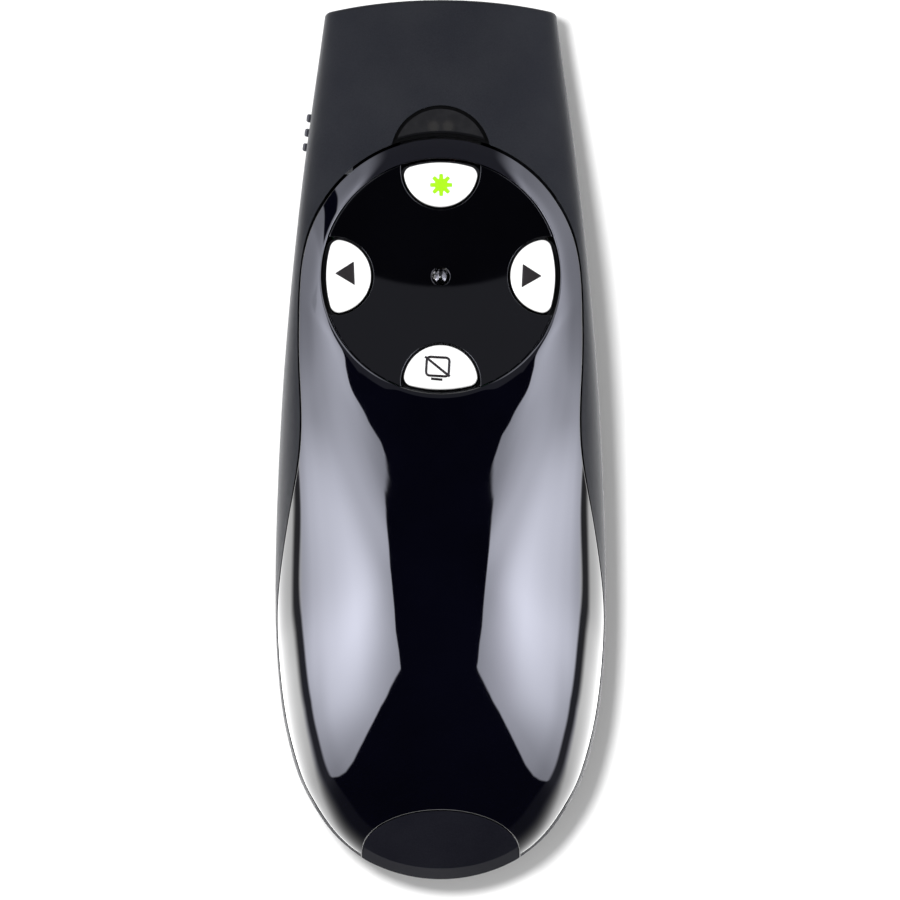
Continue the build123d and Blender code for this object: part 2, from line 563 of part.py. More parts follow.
# ---------------------------------------------------------------- laser module
barrel = cyl_y(0, LASER_Z, LASER_R, 43.6, 57.2) - cyl_y(0, LASER_Z, 3.0, 42, 54.4) - cyl_y(0, LASER_Z, 2.4, 50, 58) - cyl_y(0, LASER_Z, 3.0, 55.0, 58)
save(barrel, "laser_barrel")
glass = cyl_y(0, LASER_Z, 2.95, 55.05, 56.9) & (Pos(0, 51.3, LASER_Z) * Sphere(5.5))
save(glass, "laser_lens")
diode = cyl_y(0, LASER_Z, 2.95, 44.2, 45.2) + cyl_y(0, LASER_Z, 2.3, 45.1, 47.6)
save(diode, "laser_diode")
save(box(-4.5, 4.5, 39.5, 43.5, 9.1, 9.9), "laser_driver_pcb")
bezel = cyl_y(0, LASER_Z, 3.6, 58.05, 59.86) - cyl_y(0, LASER_Z, 2.35, 57, 61) - cyl_y(0, LASER_Z, 2.9, 57, 59.2)
save(bezel, "laser_bezel")
save(cyl_y(0, LASER_Z, 2.85, 58.2, 59.18), "laser_window")
for name, x in (("laser_lead_red", 1.6), ("laser_lead_black", -1.6)):
    path = FilletPolyline((x, 36.4, 11.3), (x, 36.5, 10.28), (x, 38.4, 10.28), (x * 1.4, 41.0, 10.28), radius=[0.45, 1.2])
    section = Plane((x, 36.4, 11.3), z_dir=path % 0) * Circle(0.35)
    wire_body = sweep(section, path=path)
    print(name, "length", round(path.length, 2), "volume ratio", round(wire_body.volume / (math.pi * 0.35 ** 2 * path.length), 3))
    save(wire_body, name)

# ---------------------------------------------------------------- power slider
knob = box(0.12, 2.5, -3.05, 3.05, -1.15, 1.15) + box(2.15, 2.8, -4.4, 4.4, -2.0, 2.0)
for y in (-2.0, 0.0, 2.0):
    rib = box(-0.55, 0.6, y - 0.55, y + 0.55, -1.1, 1.1)
    outer_edges = [e for e in rib.edges() if e.center().X < -0.54]
    knob = knob + fillet(outer_edges, 0.3)
save(on_flank(single(knob)), "power_slider")
lever = box(2.8, 4.6, -0.6, 0.6, -0.6, 0.6)
save(on_flank(lever), "slide_switch_lever")
sbody = box(3.3, 6.6, -4.9, 2.9, -2.2, 2.2) - box(3.0, 4.8, -2.85, 0.85, -0.85, 0.85)
save(on_flank(sbody), "slide_switch")

# ---------------------------------------------------------------- case screws
group = []
for x, y in SCREWS:
    head = cyl_z(x, y, 1.9, SCREW_HEAD_Z - 1.3, SCREW_HEAD_Z)
    head = head - (box(x - 1.1, x + 1.1, y - 0.2, y + 0.2, 0, SCREW_HEAD_Z - 0.7) + box(x - 0.2, x + 0.2, y - 1.1, y + 1.1, 0, SCREW_HEAD_Z - 0.7))
    group.append((head + cyl_z(x, y, 0.85, SCREW_HEAD_Z - 0.5, 13.2)).solid())
save(Compound(children=group), "case_screws", many=True)
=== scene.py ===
import bisect
import math

import bpy
import numpy as np
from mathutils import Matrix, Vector
from mathutils.geometry import delaunay_2d_cdt


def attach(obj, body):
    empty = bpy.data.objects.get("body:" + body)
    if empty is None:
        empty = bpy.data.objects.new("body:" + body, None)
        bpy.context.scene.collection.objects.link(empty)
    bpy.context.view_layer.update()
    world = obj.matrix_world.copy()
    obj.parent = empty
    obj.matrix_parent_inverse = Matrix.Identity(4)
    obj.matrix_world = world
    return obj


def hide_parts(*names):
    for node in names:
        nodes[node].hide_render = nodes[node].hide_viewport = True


MM = 0.001

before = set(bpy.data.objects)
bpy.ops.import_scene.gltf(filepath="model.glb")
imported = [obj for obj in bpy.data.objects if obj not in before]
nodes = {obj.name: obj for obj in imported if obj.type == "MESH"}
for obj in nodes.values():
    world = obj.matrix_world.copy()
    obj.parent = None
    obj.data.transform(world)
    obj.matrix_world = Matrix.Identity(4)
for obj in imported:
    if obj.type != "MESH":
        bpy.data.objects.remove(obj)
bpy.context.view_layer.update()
scene = bpy.context.scene


# ------------------------------------------------------------------ shape functions (millimetres)
class Curve:
    """Natural cubic spline through (station, value) pairs."""

    def __init__(self, pairs):
        pairs = sorted(pairs)
        self.x = [float(p[0]) for p in pairs]
        self.y = [float(p[1]) for p in pairs]
        n = len(pairs)
        h = [self.x[i + 1] - self.x[i] for i in range(n - 1)]
        a, b, c, d = [0.0] * n, [1.0] * n, [0.0] * n, [0.0] * n
        for i in range(1, n - 1):
            a[i] = h[i - 1]
            b[i] = 2 * (h[i - 1] + h[i])
            c[i] = h[i]
            d[i] = 6 * ((self.y[i + 1] - self.y[i]) / h[i] - (self.y[i] - self.y[i - 1]) / h[i - 1])
        for i in range(1, n):
            w = a[i] / b[i - 1]
            b[i] -= w * c[i - 1]
            d[i] -= w * d[i - 1]
        m = [0.0] * n
        m[-1] = d[-1] / b[-1]
        for i in range(n - 2, -1, -1):
            m[i] = (d[i] - c[i] * m[i + 1]) / b[i]
        self.m = m

    def __call__(self, t):
        i = min(max(bisect.bisect_right(self.x, t) - 1, 0), len(self.x) - 2)
        h = self.x[i + 1] - self.x[i]
        u = self.x[i + 1] - t
        v = t - self.x[i]
        return (
            (self.m[i] * u ** 3 + self.m[i + 1] * v ** 3) / (6 * h)
            + (self.y[i] / h - self.m[i] * h / 6) * u
            + (self.y[i + 1] / h - self.m[i + 1] * h / 6) * v
        )


half_w = Curve([
    (62, 15.28), (56, 16.05), (48, 17.18), (40, 18.28), (32, 19.25), (24, 20.1), (16, 20.85),
    (8, 21.47), (0, 21.95), (-8, 22.3), (-15, 22.5), (-22, 22.57), (-28, 22.42), (-34, 21.97),
    (-39, 21.25), (-43, 20.3), (-47, 18.93), (-50.5, 17.0), (-54, 14.4), (-56.8, 11.1), (-59, 7.7), (-61, 4.2),
])
shell_w = Curve([
    (24, 18.85), (20, 19.1), (15, 19.3), (9.7, 19.22), (4, 18.98), (-1, 19.12), (-5, 19.62), (-9.5, 20.42),
    (-13, 21.0), (-16.4, 21.5), (-20, 21.93), (-23.4, 22.13), (-28, 22.02), (-34, 21.5), (-39, 20.72),
    (-43, 19.73), (-47, 18.33), (-50.5, 16.38), (-54, 13.75), (-56.8, 10.5), (-59, 7.2),
])
waist_z = Curve([(64, 9.1), (50, 9.5), (35, 10.2), (20, 11.0), (5, 11.65), (-10, 12.15), (-25, 12.45), (-38, 12.3),
                 (-48, 11.8), (-56, 11.2), (-62, 10.8)])
crown_z = Curve([(63, 14.1), (56, 16.0), (50, 17.4), (45, 18.4), (40, 19.3), (34, 20.4), (28, 21.6), (22, 22.7),
                 (14, 24.1), (6, 25.3), (-2, 26.35), (-10, 27.05), (-18, 27.35), (-26, 27.1), (-34, 26.1),
                 (-40, 24.85), (-46, 22.75), (-51, 20.1), (-55, 17.4), (-59, 14.3), (-62, 11.9)])
crown_add = Curve([(64, 0.3), (40, 0.3), (20, 0.3), (5, 0.28), (-5, 0.16), (-15, 0.06), (-25, 0.02), (-62, 0.02)])
square_case = Curve([(64, 3.2), (52, 3.4), (44, 3.8), (38, 4.4), (32, 5.1), (27, 5.55), (22, 5.5), (15, 4.6), (8, 3.8),
                     (2, 3.2), (-4, 2.75), (-11, 2.38), (-18, 2.15), (-26, 2.03), (-36, 2.0), (-62, 2.0)])
square_add = Curve([(64, 0.6), (25, 0.6), (12, 0.5), (2, 0.3), (-8, 0.1), (-16, 0.03), (-26, 0.0), (-62, 0.0)])
seat_z = Curve([(64, 15.6), (50, 15.8), (38, 16.2), (32, 17.2), (26, 18.3), (18, 19.2), (8, 19.8), (2, 19.4), (-5, 18.3),
                (-11, 17.0), (-17, 15.45), (-23, 14.2), (-30, 13.7), (-40, 13.45), (-50, 12.8), (-60, 12.0)])

PANEL_Y, PANEL_Z, PANEL_SLOPE, HOLE_R, RING_R = 22.3, 23.0, 0.12, 16.25, 18.9
TILT = math.atan(PANEL_SLOPE)
ARCH_A, ARCH_B, ARCH_CY = 10.9, 6.05, -56.45
SHELL_T, SKIRT_T = 1.7, 1.4


def supersection(x, w, h, n):
    q = min(abs(x) / w, 1.0)
    return h * (1 - q ** n) ** (1 / n)


def ring_drop(rho):
    rho = max(rho, -3)
    if rho < 2.65:
        return 0.30 * rho + 0.09 * rho * rho
    return 0.30 * 2.65 + 0.09 * 2.65 ** 2 + 0.777 * (rho - 2.65)


def smooth01(t):
    t = min(max(t, 0.0), 1.0)
    return t * t * t * (t * (6 * t - 15) + 10)


def soft_min(a, b, k):
    m = min(a, b)
    return m - k * math.log(math.exp(-(a - m) / k) + math.exp(-(b - m) / k))


def shell_top(x, y):
    w, zp = half_w(y), waist_z(y)
    h = crown_z(y) + crown_add(y) + 0.75 * smooth01((y - 2) / 18) - zp
    dome = zp + supersection(x, w, h, square_case(y) + square_add(y))
    r = math.hypot(x, y - PANEL_Y)
    phi = math.degrees(math.atan2(abs(x), y - PANEL_Y)) if r > 1e-9 else 0.0
    a = 1 - smooth01((phi - 80) / 60)
    rho = r - HOLE_R
    rim = PANEL_Z + PANEL_SLOPE * (PANEL_Y - y) - a * ring_drop(rho) + (1 - a) * (0.45 * max(rho, -3) + 1.2)
    lift = 0.02 + 0.23 * smooth01((y + 8) / 20)
    return soft_min(dome + lift, rim + 0.02, 0.22)


def panel_world(x, y, z):
    """Panel frame to row frame, in mm."""
    c, s = math.cos(TILT), math.sin(TILT)
    return (x, PANEL_Y + y * c + z * s, PANEL_Z - y * s + z * c)


# ------------------------------------------------------------------ mesh helpers
def new_mesh(name, verts, faces, smooth=True):
    me = bpy.data.meshes.new(name)
    me.from_pydata([tuple(c * MM for c in v) for v in verts], [], faces)
    me.validate()
    me.update()
    ob = bpy.data.objects.new(name, me)
    scene.collection.objects.link(ob)
    if smooth:
        me.shade_smooth()
    return ob


def loops_to_torus(rows):
    """Closed rows (each a closed profile) joined all round into one watertight mesh."""
    n, m = len(rows), len(rows[0])
    verts = [p for row in rows for p in row]
    faces = []
    for i in range(n):
        i2 = (i + 1) % n
        for j in range(m):
            j2 = (j + 1) % m
            faces.append((i * m + j, i2 * m + j, i2 * m + j2, i * m + j2))
    return verts, faces


# ------------------------------------------------------------------ glossy shell
def hermite(p0, t0, p1, t1, n):
    out = []
    d = math.hypot(p1[0] - p0[0], p1[1] - p0[1])
    for i in range(n):
        s = i / n
        h00, h10 = 2 * s ** 3 - 3 * s ** 2 + 1, s ** 3 - 2 * s ** 2 + s
        h01, h11 = -2 * s ** 3 + 3 * s ** 2, s ** 3 - s ** 2
        out.append((h00 * p0[0] + h10 * d * t0[0] + h01 * p1[0] + h11 * d * t1[0],
                    h00 * p0[1] + h10 * d * t0[1] + h01 * p1[1] + h11 * d * t1[1]))
    return out


def shell_outline_points():
    """Half outline from the front round the right flank and the arch to the rear centre: (x, y, is_arch)."""
    pts = []
    for i in range(66):
        a = math.radians(78 * i / 66)
        pts.append((RING_R * math.sin(a), PANEL_Y + RING_R * math.cos(a), False))
    a = math.radians(78)
    p0 = (RING_R * math.sin(a), PANEL_Y + RING_R * math.cos(a))
    y1 = 15.0
    slope = (shell_w(y1 + 0.1) - shell_w(y1 - 0.1)) / 0.2
    norm = math.hypot(slope, 1)
    pts += [(x, y, False) for x, y in hermite(p0, (math.cos(a), -math.sin(a)), (shell_w(y1), y1), (-slope / norm, -1 / norm), 22)]
    y = y1
    while y > -56.35:
        pts.append((shell_w(y), y, False))
        y -= 0.55 if y > -44 else 0.32
    ye = -56.45
    for _ in range(60):
        if shell_w(ye) > ARCH_A:
            ye -= 0.002
        else:
            ye += 0.002
    pts.append((ARCH_A, ye, False))
    for i in range(6, 40):
        a = math.radians(90 * i / 39)
        pts.append((ARCH_A * math.cos(a), ARCH_CY + ARCH_B * math.sin(a), True))
    return pts


def crown_lean(x, y):
    """Slight extra fall towards the nose beside the panel's rear edge (slope), in the shading only."""
    q = abs(x)
    return (0.05 * smooth01((y - 2) / 7) * (1 - smooth01((y - 12) / 3))
            * smooth01((q - 5) / 3) * (1 - smooth01((q - 14) / 4)))


def build_shell():
    half = shell_outline_points()
    mirror = [(-x, y, f) for x, y, f in half[1:-1]][::-1]
    loop = half + mirror
    n = len(loop)
    normals = []
    for i in range(n):
        x0, y0, _ = loop[i - 1]
        x1, y1, _ = loop[(i + 1) % n]
        tx, ty = x1 - x0, y1 - y0
        d = math.hypot(tx, ty)
        normals.append((-ty / d, tx / d))
    # outline runs clockwise seen from above, so the outward normal is on its left
    rows = []
    top_n = 96
    corner = max((p for p in loop if abs(p[0] - ARCH_A) < 1e-6), key=lambda p: -p[1])
    for (x, y, arch), (nx, ny) in zip(loop, normals):
        # the rounding and the seam close up towards the two sharp corners beside the arch
        near = math.hypot(abs(x) - corner[0], y - corner[1])
        tail = smooth01((2 - y) / 16)
        edge = max(0.015, min(0.04 + 0.05 * tail, 0.3 * near))
        if (nx * x + ny * (y - PANEL_Y)) < 0 and not arch:
            nx, ny = -nx, -ny
        if arch and ny > 0:
            nx, ny = -nx, -ny
        front = max(0.0, min(1.0, (y - 24) / 8))
        pull = 0.02 if arch else 0.04 + 0.18 * front - 0.12 * tail
        pull *= smooth01(near / 2)
        x, y = x - nx * pull, y - ny * pull
        # beside the corners the inset runs along the spoke
        spoke = math.hypot(x, y - PANEL_Y)
        k = 1 - smooth01((near - 0.8) / 3)
        gx, gy = nx * (1 - k) + x / spoke * k, ny * (1 - k) + (y - PANEL_Y) / spoke * k
        g = math.hypot(gx, gy)
        nx, ny = gx / g, gy / g
        ix, iy = x - nx * edge, y - ny * edge
        phi = math.atan2(iy - PANEL_Y, ix)
        edge_h = 0.26 - 0.2 * smooth01((math.sin(phi) - 0.5) / 0.3)
        # point of the hole's rounded edge at the same bearing
        al = phi
        zl = 0.0
        for _ in range(5):
            c, s = math.cos(TILT), math.sin(TILT)
            r_h = HOLE_R + edge_h
            px, py, _z = panel_world(r_h * math.cos(al), r_h * math.sin(al), zl)
            zw = shell_top(px, py)
            zl = (zw - PANEL_Z + r_h * math.sin(al) * s) / c
            al += phi - math.atan2(py - PANEL_Y, px)
        hx, hy, _z = panel_world(r_h * math.cos(al), r_h * math.sin(al), zl)
        row = []
        for k in range(top_n):
            s = 0.5 * (1 - math.cos(math.pi * k / (top_n - 1)))
            qx, qy = hx + (ix - hx) * s, hy + (iy - hy) * s
            row.append((qx, qy, shell_top(qx, qy)))
        for k in range(1, 6):
            t = math.radians(90 * k / 5)
            qx, qy = ix + nx * edge * math.sin(t), iy + ny * edge * math.sin(t)
            row.append((qx, qy, shell_top(qx, qy) - edge * (1 - math.cos(t))))
        low = shell_top(x, y) - SHELL_T if arch else min(seat_z(y) + 0.06, shell_top(x, y) - 0.8)
        row.append((x, y, low + 0.1))
        row.append((x - nx * 0.08, y - ny * 0.08, low))
        skirt = 0.3 if arch else SKIRT_T
        sx, sy = x - nx * skirt, y - ny * skirt
        row.append((sx, sy, low))
        row.append((sx, sy, max(low + 0.01, shell_top(sx, sy) - SHELL_T)))
        for k in range(1, 10):
            s = k / 9
            bx, by, _z = panel_world((HOLE_R + 0.02) * math.cos(al), (HOLE_R + 0.02) * math.sin(al), zl - SHELL_T)
            qx, qy = sx + (bx - sx) * s, sy + (by - sy) * s
            row.append((qx, qy, shell_top(qx, qy) - SHELL_T))
        wx, wy, wz = panel_world(HOLE_R * math.cos(al), HOLE_R * math.sin(al), zl - 0.8)
        row.append((wx, wy, wz))
        for k in range(5, 0, -1):
            t = math.radians(90 * k / 5)
            rr = HOLE_R + edge_h * (1 - math.sin(t))
            ex, ey, _z = panel_world(rr * math.cos(al), rr * math.sin(al), zl)
            row.append((ex, ey, shell_top(ex, ey) - edge_h * (1 - math.cos(t))))
        rows.append(row)
    verts, faces = loops_to_torus(rows)
    ob = new_mesh("shell_skin", verts, faces)
    # the crown's shading follows its true curve
    me = ob.data
    given = [tuple(v.normal) for v in me.vertices]
    width = len(rows[0])
    h = 0.02
    for i in range(len(rows)):
        for k in range(top_n):
            x, y, _z = verts[i * width + k]
            g = Vector((-(shell_top(x + h, y) - shell_top(x - h, y)) / (2 * h),
                        -(shell_top(x, y + h) - shell_top(x, y - h)) / (2 * h) + crown_lean(x, y), 1.0))
            given[i * width + k] = g.normalized()
    me.normals_split_custom_set_from_vertices(given)
    return ob


shell = build_shell()


# ------------------------------------------------------------------ control plate
BTN_C, BTN_R, GAP = 14.55, 5.07, 0.37
DISH_DEPTH = 0.6
DISH_R = (16.0 ** 2 + DISH_DEPTH ** 2) / (2 * DISH_DEPTH)


def dish_z(x, y):
    r2 = x * x + y * y
    return min(DISH_R - DISH_DEPTH - math.sqrt(DISH_R ** 2 - r2), 0.0)


def plate_outline():
    """Counter-clockwise outline of the plate in its own frame, open to the rim at the four buttons."""
    rn, R = BTN_R + GAP, 16.1
    d = math.acos((R * R + BTN_C * BTN_C - rn * rn) / (2 * R * BTN_C))
    out = []
    for q in range(4):
        base = math.pi / 2 * q
        # outer arc between two notches
        a0, a1 = base - math.pi / 2 + d, base - d
        for i in range(30):
            a = a0 + (a1 - a0) * i / 30
            out.append((R * math.cos(a), R * math.sin(a), i == 0))
        # notch
        cx, cy = BTN_C * math.cos(base), BTN_C * math.sin(base)
        p = (R * math.cos(a1), R * math.sin(a1))
        s0 = math.atan2(p[1] - cy, p[0] - cx)
        p2 = (R * math.cos(base + d), R * math.sin(base + d))
        s1 = math.atan2(p2[1] - cy, p2[0] - cx)
        while s1 > s0:
            s1 -= 2 * math.pi
        for i in range(56):
            s = s0 + (s1 - s0) * i / 56
            out.append((cx + rn * math.cos(s), cy + rn * math.sin(s), i == 0))
    return out


def offset_loop(loop, dist):
    """Inward offset of a counter-clockwise loop, corners mitred."""
    n = len(loop)
    out = []
    for i in range(n):
        x0, y0 = loop[i - 1][:2]
        x1, y1 = loop[i][:2]
        x2, y2 = loop[(i + 1) % n][:2]
        ax, ay, bx, by = x1 - x0, y1 - y0, x2 - x1, y2 - y1
        la, lb = math.hypot(ax, ay), math.hypot(bx, by)
        nx, ny = -ay / la - by / lb, ax / la + bx / lb
        l2 = nx * nx + ny * ny
        k = 2 / l2 if l2 > 0.4 else 5.0
        k = min(k, 2.0)
        out.append((x1 + nx * k * dist, y1 + ny * k * dist))
    return out


def rounded_plate(name, outer, holes, top, depth, edge, grid, to_world, steps=4):
    """A plate whose top follows top(x, y), with rounded edges along its outline and holes."""
    verts, faces = [], []
    lean = {}
    inner_loops = []
    for loop, sign in [(outer, 1)] + [(h, -1) for h in holes]:
        prev = None
        for level in range(steps + 2):
            if level == 0:
                pts = [(p[0], p[1], top(p[0], p[1]) - depth) for p in loop]
            else:
                t = math.radians(90 * (1 - (level - 1) / steps))
                off = edge * (1 - math.sin(t))
                ring = offset_loop(loop, off)
                pts = [(p[0], p[1], top(p[0], p[1]) - edge * (1 - math.cos(t))) for p in ring]
                inward = offset_loop(loop, 1.0)
                for i, (p, q) in enumerate(zip(loop, inward)):
                    d = math.hypot(q[0] - p[0], q[1] - p[1])
                    lean[len(verts) + i] = ((p[0] - q[0]) / d * math.sin(t), (p[1] - q[1]) / d * math.sin(t), math.cos(t))
            start = len(verts)
            verts += pts
            if prev is not None:
                n = len(pts)
                for i in range(n):
                    j = (i + 1) % n
                    faces.append((prev + i, prev + j, start + j, start + i))
            prev = start
        inner_loops.append((prev, len(loop)))
    pts2, idx, edges, loops_i = [], [], [], []
    for start, n in inner_loops:
        base = len(pts2)
        for i in range(n):
            pts2.append(Vector(verts[start + i][:2]))
            idx.append(start + i)
        edges += [(base + i, base + (i + 1) % n) for i in range(n)]
        loops_i.append([base + i for i in range(n)])
    bound = [[tuple(verts[s + i][:2]) for i in range(n)] for s, n in inner_loops]

    def inside(x, y, poly):
        c = False
        j = len(poly) - 1
        for i in range(len(poly)):
            xi, yi = poly[i]
            xj, yj = poly[j]
            if (yi > y) != (yj > y) and x < (xj - xi) * (y - yi) / (yj - yi) + xi:
                c = not c
            j = i
        return c

    bpts = np.array([p for b in bound for p in b])
    for gx, gy in grid:
        if inside(gx, gy, bound[0]) and not any(inside(gx, gy, b) for b in bound[1:]):
            if ((bpts - (gx, gy)) ** 2).sum(1).min() > 0.05:
                pts2.append(Vector((gx, gy)))
                idx.append(len(verts))
                verts.append((gx, gy, top(gx, gy)))
    res = delaunay_2d_cdt(pts2, edges, [], 0, 1e-7)
    new_pts, _e, new_faces, orig, _oe, _of = res
    lookup = []
    for k, p in enumerate(new_pts):
        if orig[k]:
            lookup.append(idx[orig[k][0]])
        else:
            lookup.append(len(verts))
            verts.append((p[0], p[1], top(p[0], p[1])))
    for f in new_faces:
        cx = sum(new_pts[i][0] for i in f) / len(f)
        cy = sum(new_pts[i][1] for i in f) / len(f)
        if inside(cx, cy, bound[0]) and not any(inside(cx, cy, b) for b in bound[1:]):
            faces.append(tuple(lookup[i] for i in f))
    # underside closes the plate
    base_pts, base_idx, base_edges = [], [], []
    starts = []
    count = 0
    for loop in [outer] + list(holes):
        starts.append(count)
        count += len(loop) * (steps + 2)
    b_bound = []
    for st, loop in zip(starts, [outer] + list(holes)):
        b0 = len(base_pts)
        n = len(loop)
        for i in range(n):
            base_pts.append(Vector(verts[st + i][:2]))
            base_idx.append(st + i)
        base_edges += [(b0 + i, b0 + (i + 1) % n) for i in range(n)]
        b_bound.append([(p[0], p[1]) for p in loop])
    new_pts, _e, new_faces, orig, _oe, _of = delaunay_2d_cdt(base_pts, base_edges, [], 0, 1e-7)
    look2 = []
    for k, p in enumerate(new_pts):
        if orig[k]:
            look2.append(base_idx[orig[k][0]])
        else:
            look2.append(len(verts))
            verts.append((p[0], p[1], top(p[0], p[1]) - depth))
    for f in new_faces:
        cx = sum(new_pts[i][0] for i in f) / len(f)
        cy = sum(new_pts[i][1] for i in f) / len(f)
        if inside(cx, cy, b_bound[0]) and not any(inside(cx, cy, b) for b in b_bound[1:]):
            faces.append(tuple(look2[i] for i in reversed(f)))
    ob = new_mesh(name, [to_world(*v) for v in verts], faces)
    # the top's shading follows its true curve, whatever the triangles are
    me = ob.data
    origin = Vector(to_world(0, 0, 0))
    axes = [Vector(to_world(*a)) - origin for a in ((1, 0, 0), (0, 1, 0), (0, 0, 1))]
    under = set()
    for f in faces:
        if all(verts[i][2] < top(verts[i][0], verts[i][1]) - 0.5 * depth for i in f):
            under.update(f)
    given = []
    for i, (x, y, z) in enumerate(verts):
        if i in under:
            n = (0.0, 0.0, -1.0)
        else:
            h = 0.01
            gx, gy = (top(x + h, y) - top(x - h, y)) / (2 * h), (top(x, y + h) - top(x, y - h)) / (2 * h)
            e = lean.get(i, (0.0, 0.0, 1.0))
            n = (e[0] - gx * e[2], e[1] - gy * e[2], e[2])
        given.append((axes[0] * n[0] + axes[1] * n[1] + axes[2] * n[2]).normalized())
    if len(me.vertices) == len(given):
        me.normals_split_custom_set_from_vertices(given)
    return ob


def ring_grid(radii, per):
    out = []
    for k, r in enumerate(radii):
        n = max(8, int(2 * math.pi * r / per))
        for i in range(n):
            a = 2 * math.pi * (i + 0.5 * (k % 2)) / n
            out.append((r * math.cos(a), r * math.sin(a)))
    return out


centre_hole = [(1.27 * math.cos(a), 1.27 * math.sin(a)) for a in [-2 * math.pi * i / 40 for i in range(40)]]
plate = rounded_plate(
    "control_plate", plate_outline(), [centre_hole], dish_z, 2.2, 0.05,
    ring_grid([1.6 + 0.55 * i for i in range(27)], 0.6), panel_world)

# ------------------------------------------------------------------ printed symbols on the buttons
CROWN_R, CROWN_C, CROWN_TOP = 24.0, 12.6, 0.22


def on_button(k, px, py, lift=0.012):
    """Row-frame point on the crown of button k above image-plane point (px, py) in mm."""
    a = math.pi / 2 * k
    cx, cy = -CROWN_C * math.sin(a), CROWN_C * math.cos(a)
    z = 0.1
    for _ in range(4):
        lx = px
        ly = (py - PANEL_Y - z * math.sin(TILT)) / math.cos(TILT)
        z = CROWN_TOP - CROWN_R + math.sqrt(CROWN_R ** 2 - (lx - cx) ** 2 - (ly - cy) ** 2)
    return panel_world(lx, ly, z + lift)


def printed_fan(name, k, centre, outline, rings=5):
    """A printed mark that is star-shaped about its centre, laid on a button's crown."""
    n = len(outline)
    verts = [on_button(k, *centre)]
    for r in range(1, rings + 1):
        s = r / rings
        verts += [on_button(k, centre[0] + (x - centre[0]) * s, centre[1] + (y - centre[1]) * s) for x, y in outline]
    base = len(verts)
    verts += [on_button(k, x, y, -0.01) for x, y in outline]
    faces = [(0, 1 + i, 1 + (i + 1) % n) for i in range(n)]
    for r in range(rings - 1):
        a, b = 1 + r * n, 1 + (r + 1) * n
        faces += [(a + i, b + i, b + (i + 1) % n, a + (i + 1) % n) for i in range(n)]
    a = 1 + (rings - 1) * n
    faces += [(a + i, base + i, base + (i + 1) % n, a + (i + 1) % n) for i in range(n)]
    return new_mesh(name, verts, faces)


def printed_stroke(name, k, strokes, width):
    """Printed lines of one width along polylines; closed lines repeat their first point."""
    verts, faces = [], []
    for line in strokes:
        closed = line[0] == line[-1]
        fine = []
        for (x0, y0), (x1, y1) in zip(line, line[1:]):
            n = max(1, int(math.hypot(x1 - x0, y1 - y0) / 0.3))
            fine += [(x0 + (x1 - x0) * i / n, y0 + (y1 - y0) * i / n) for i in range(n)]
        if not closed:
            fine.append(line[-1])
        n = len(fine)
        start = len(verts)
        for i in range(n):
            if closed:
                a, b = fine[i - 1], fine[(i + 1) % n]
            else:
                a, b = fine[max(i - 1, 0)], fine[min(i + 1, n - 1)]
            tx, ty = b[0] - a[0], b[1] - a[1]
            d = math.hypot(tx, ty)
            ox, oy = -ty / d * width / 2, tx / d * width / 2
            x, y = fine[i]
            verts += [on_button(k, x + ox, y + oy, -0.01), on_button(k, x + ox, y + oy), on_button(k, x, y),
                      on_button(k, x - ox, y - oy), on_button(k, x - ox, y - oy, -0.01)]
        last = n if closed else n - 1
        for i in range(last):
            j = (i + 1) % n
            for q in range(4):
                faces.append((start + 5 * i + q, start + 5 * j + q, start + 5 * j + q + 1, start + 5 * i + q + 1))
    return new_mesh(name, verts, faces)


def px(x, y):
    return ((x - 440.7) * 0.1365, (439.8 - y) * 0.1365)


def star_outline(cx, cy, outer, core, spoke, rays=8):
    pts = []
    for i in range(rays):
        a = 2 * math.pi * i / rays + math.pi / 2
        ux, uy, vx, vy = math.cos(a), math.sin(a), -math.sin(a), math.cos(a)
        h = spoke / 2
        foot = math.sqrt(max(core * core - h * h, 0))
        pts.append((cx + ux * foot + vx * -h, cy + uy * foot + vy * -h))
        for t in (-60, -20, 20, 60):
            q = math.radians(t)
            pts.append((cx + ux * (outer - h * 0.55 + h * 0.55 * math.cos(q)) + vx * h * 0.88 * math.sin(q) / math.sin(math.radians(60)),
                        cy + uy * (outer - h * 0.55 + h * 0.55 * math.cos(q)) + vy * h * 0.88 * math.sin(q) / math.sin(math.radians(60))))
        pts.append((cx + ux * foot + vx * h, cy + uy * foot + vy * h))
    return pts


def soft_triangle(pts, r=0.16):
    """Outline of a triangle with slightly rounded corners."""
    out = []
    n = len(pts)
    for i in range(n):
        p0, p1, p2 = pts[i - 1], pts[i], pts[(i + 1) % n]
        d0, d2 = math.hypot(p0[0] - p1[0], p0[1] - p1[1]), math.hypot(p2[0] - p1[0], p2[1] - p1[1])
        a = (p1[0] + (p0[0] - p1[0]) / d0 * r, p1[1] + (p0[1] - p1[1]) / d0 * r)
        b = (p1[0] + (p2[0] - p1[0]) / d2 * r, p1[1] + (p2[1] - p1[1]) / d2 * r)
        for t in (0, 0.25, 0.5, 0.75, 1):
            u = 1 - t
            out.append((u * u * a[0] + 2 * u * t * p1[0] + t * t * b[0], u * u * a[1] + 2 * u * t * p1[1] + t * t * b[1]))
        nx = pts[(i + 1) % n]
        a2 = (nx[0] + (p1[0] - nx[0]) / d2 * r, nx[1] + (p1[1] - nx[1]) / d2 * r)
        for t in (0.25, 0.5, 0.75):
            out.append((b[0] + (a2[0] - b[0]) * t, b[1] + (a2[1] - b[1]) * t))
    return out


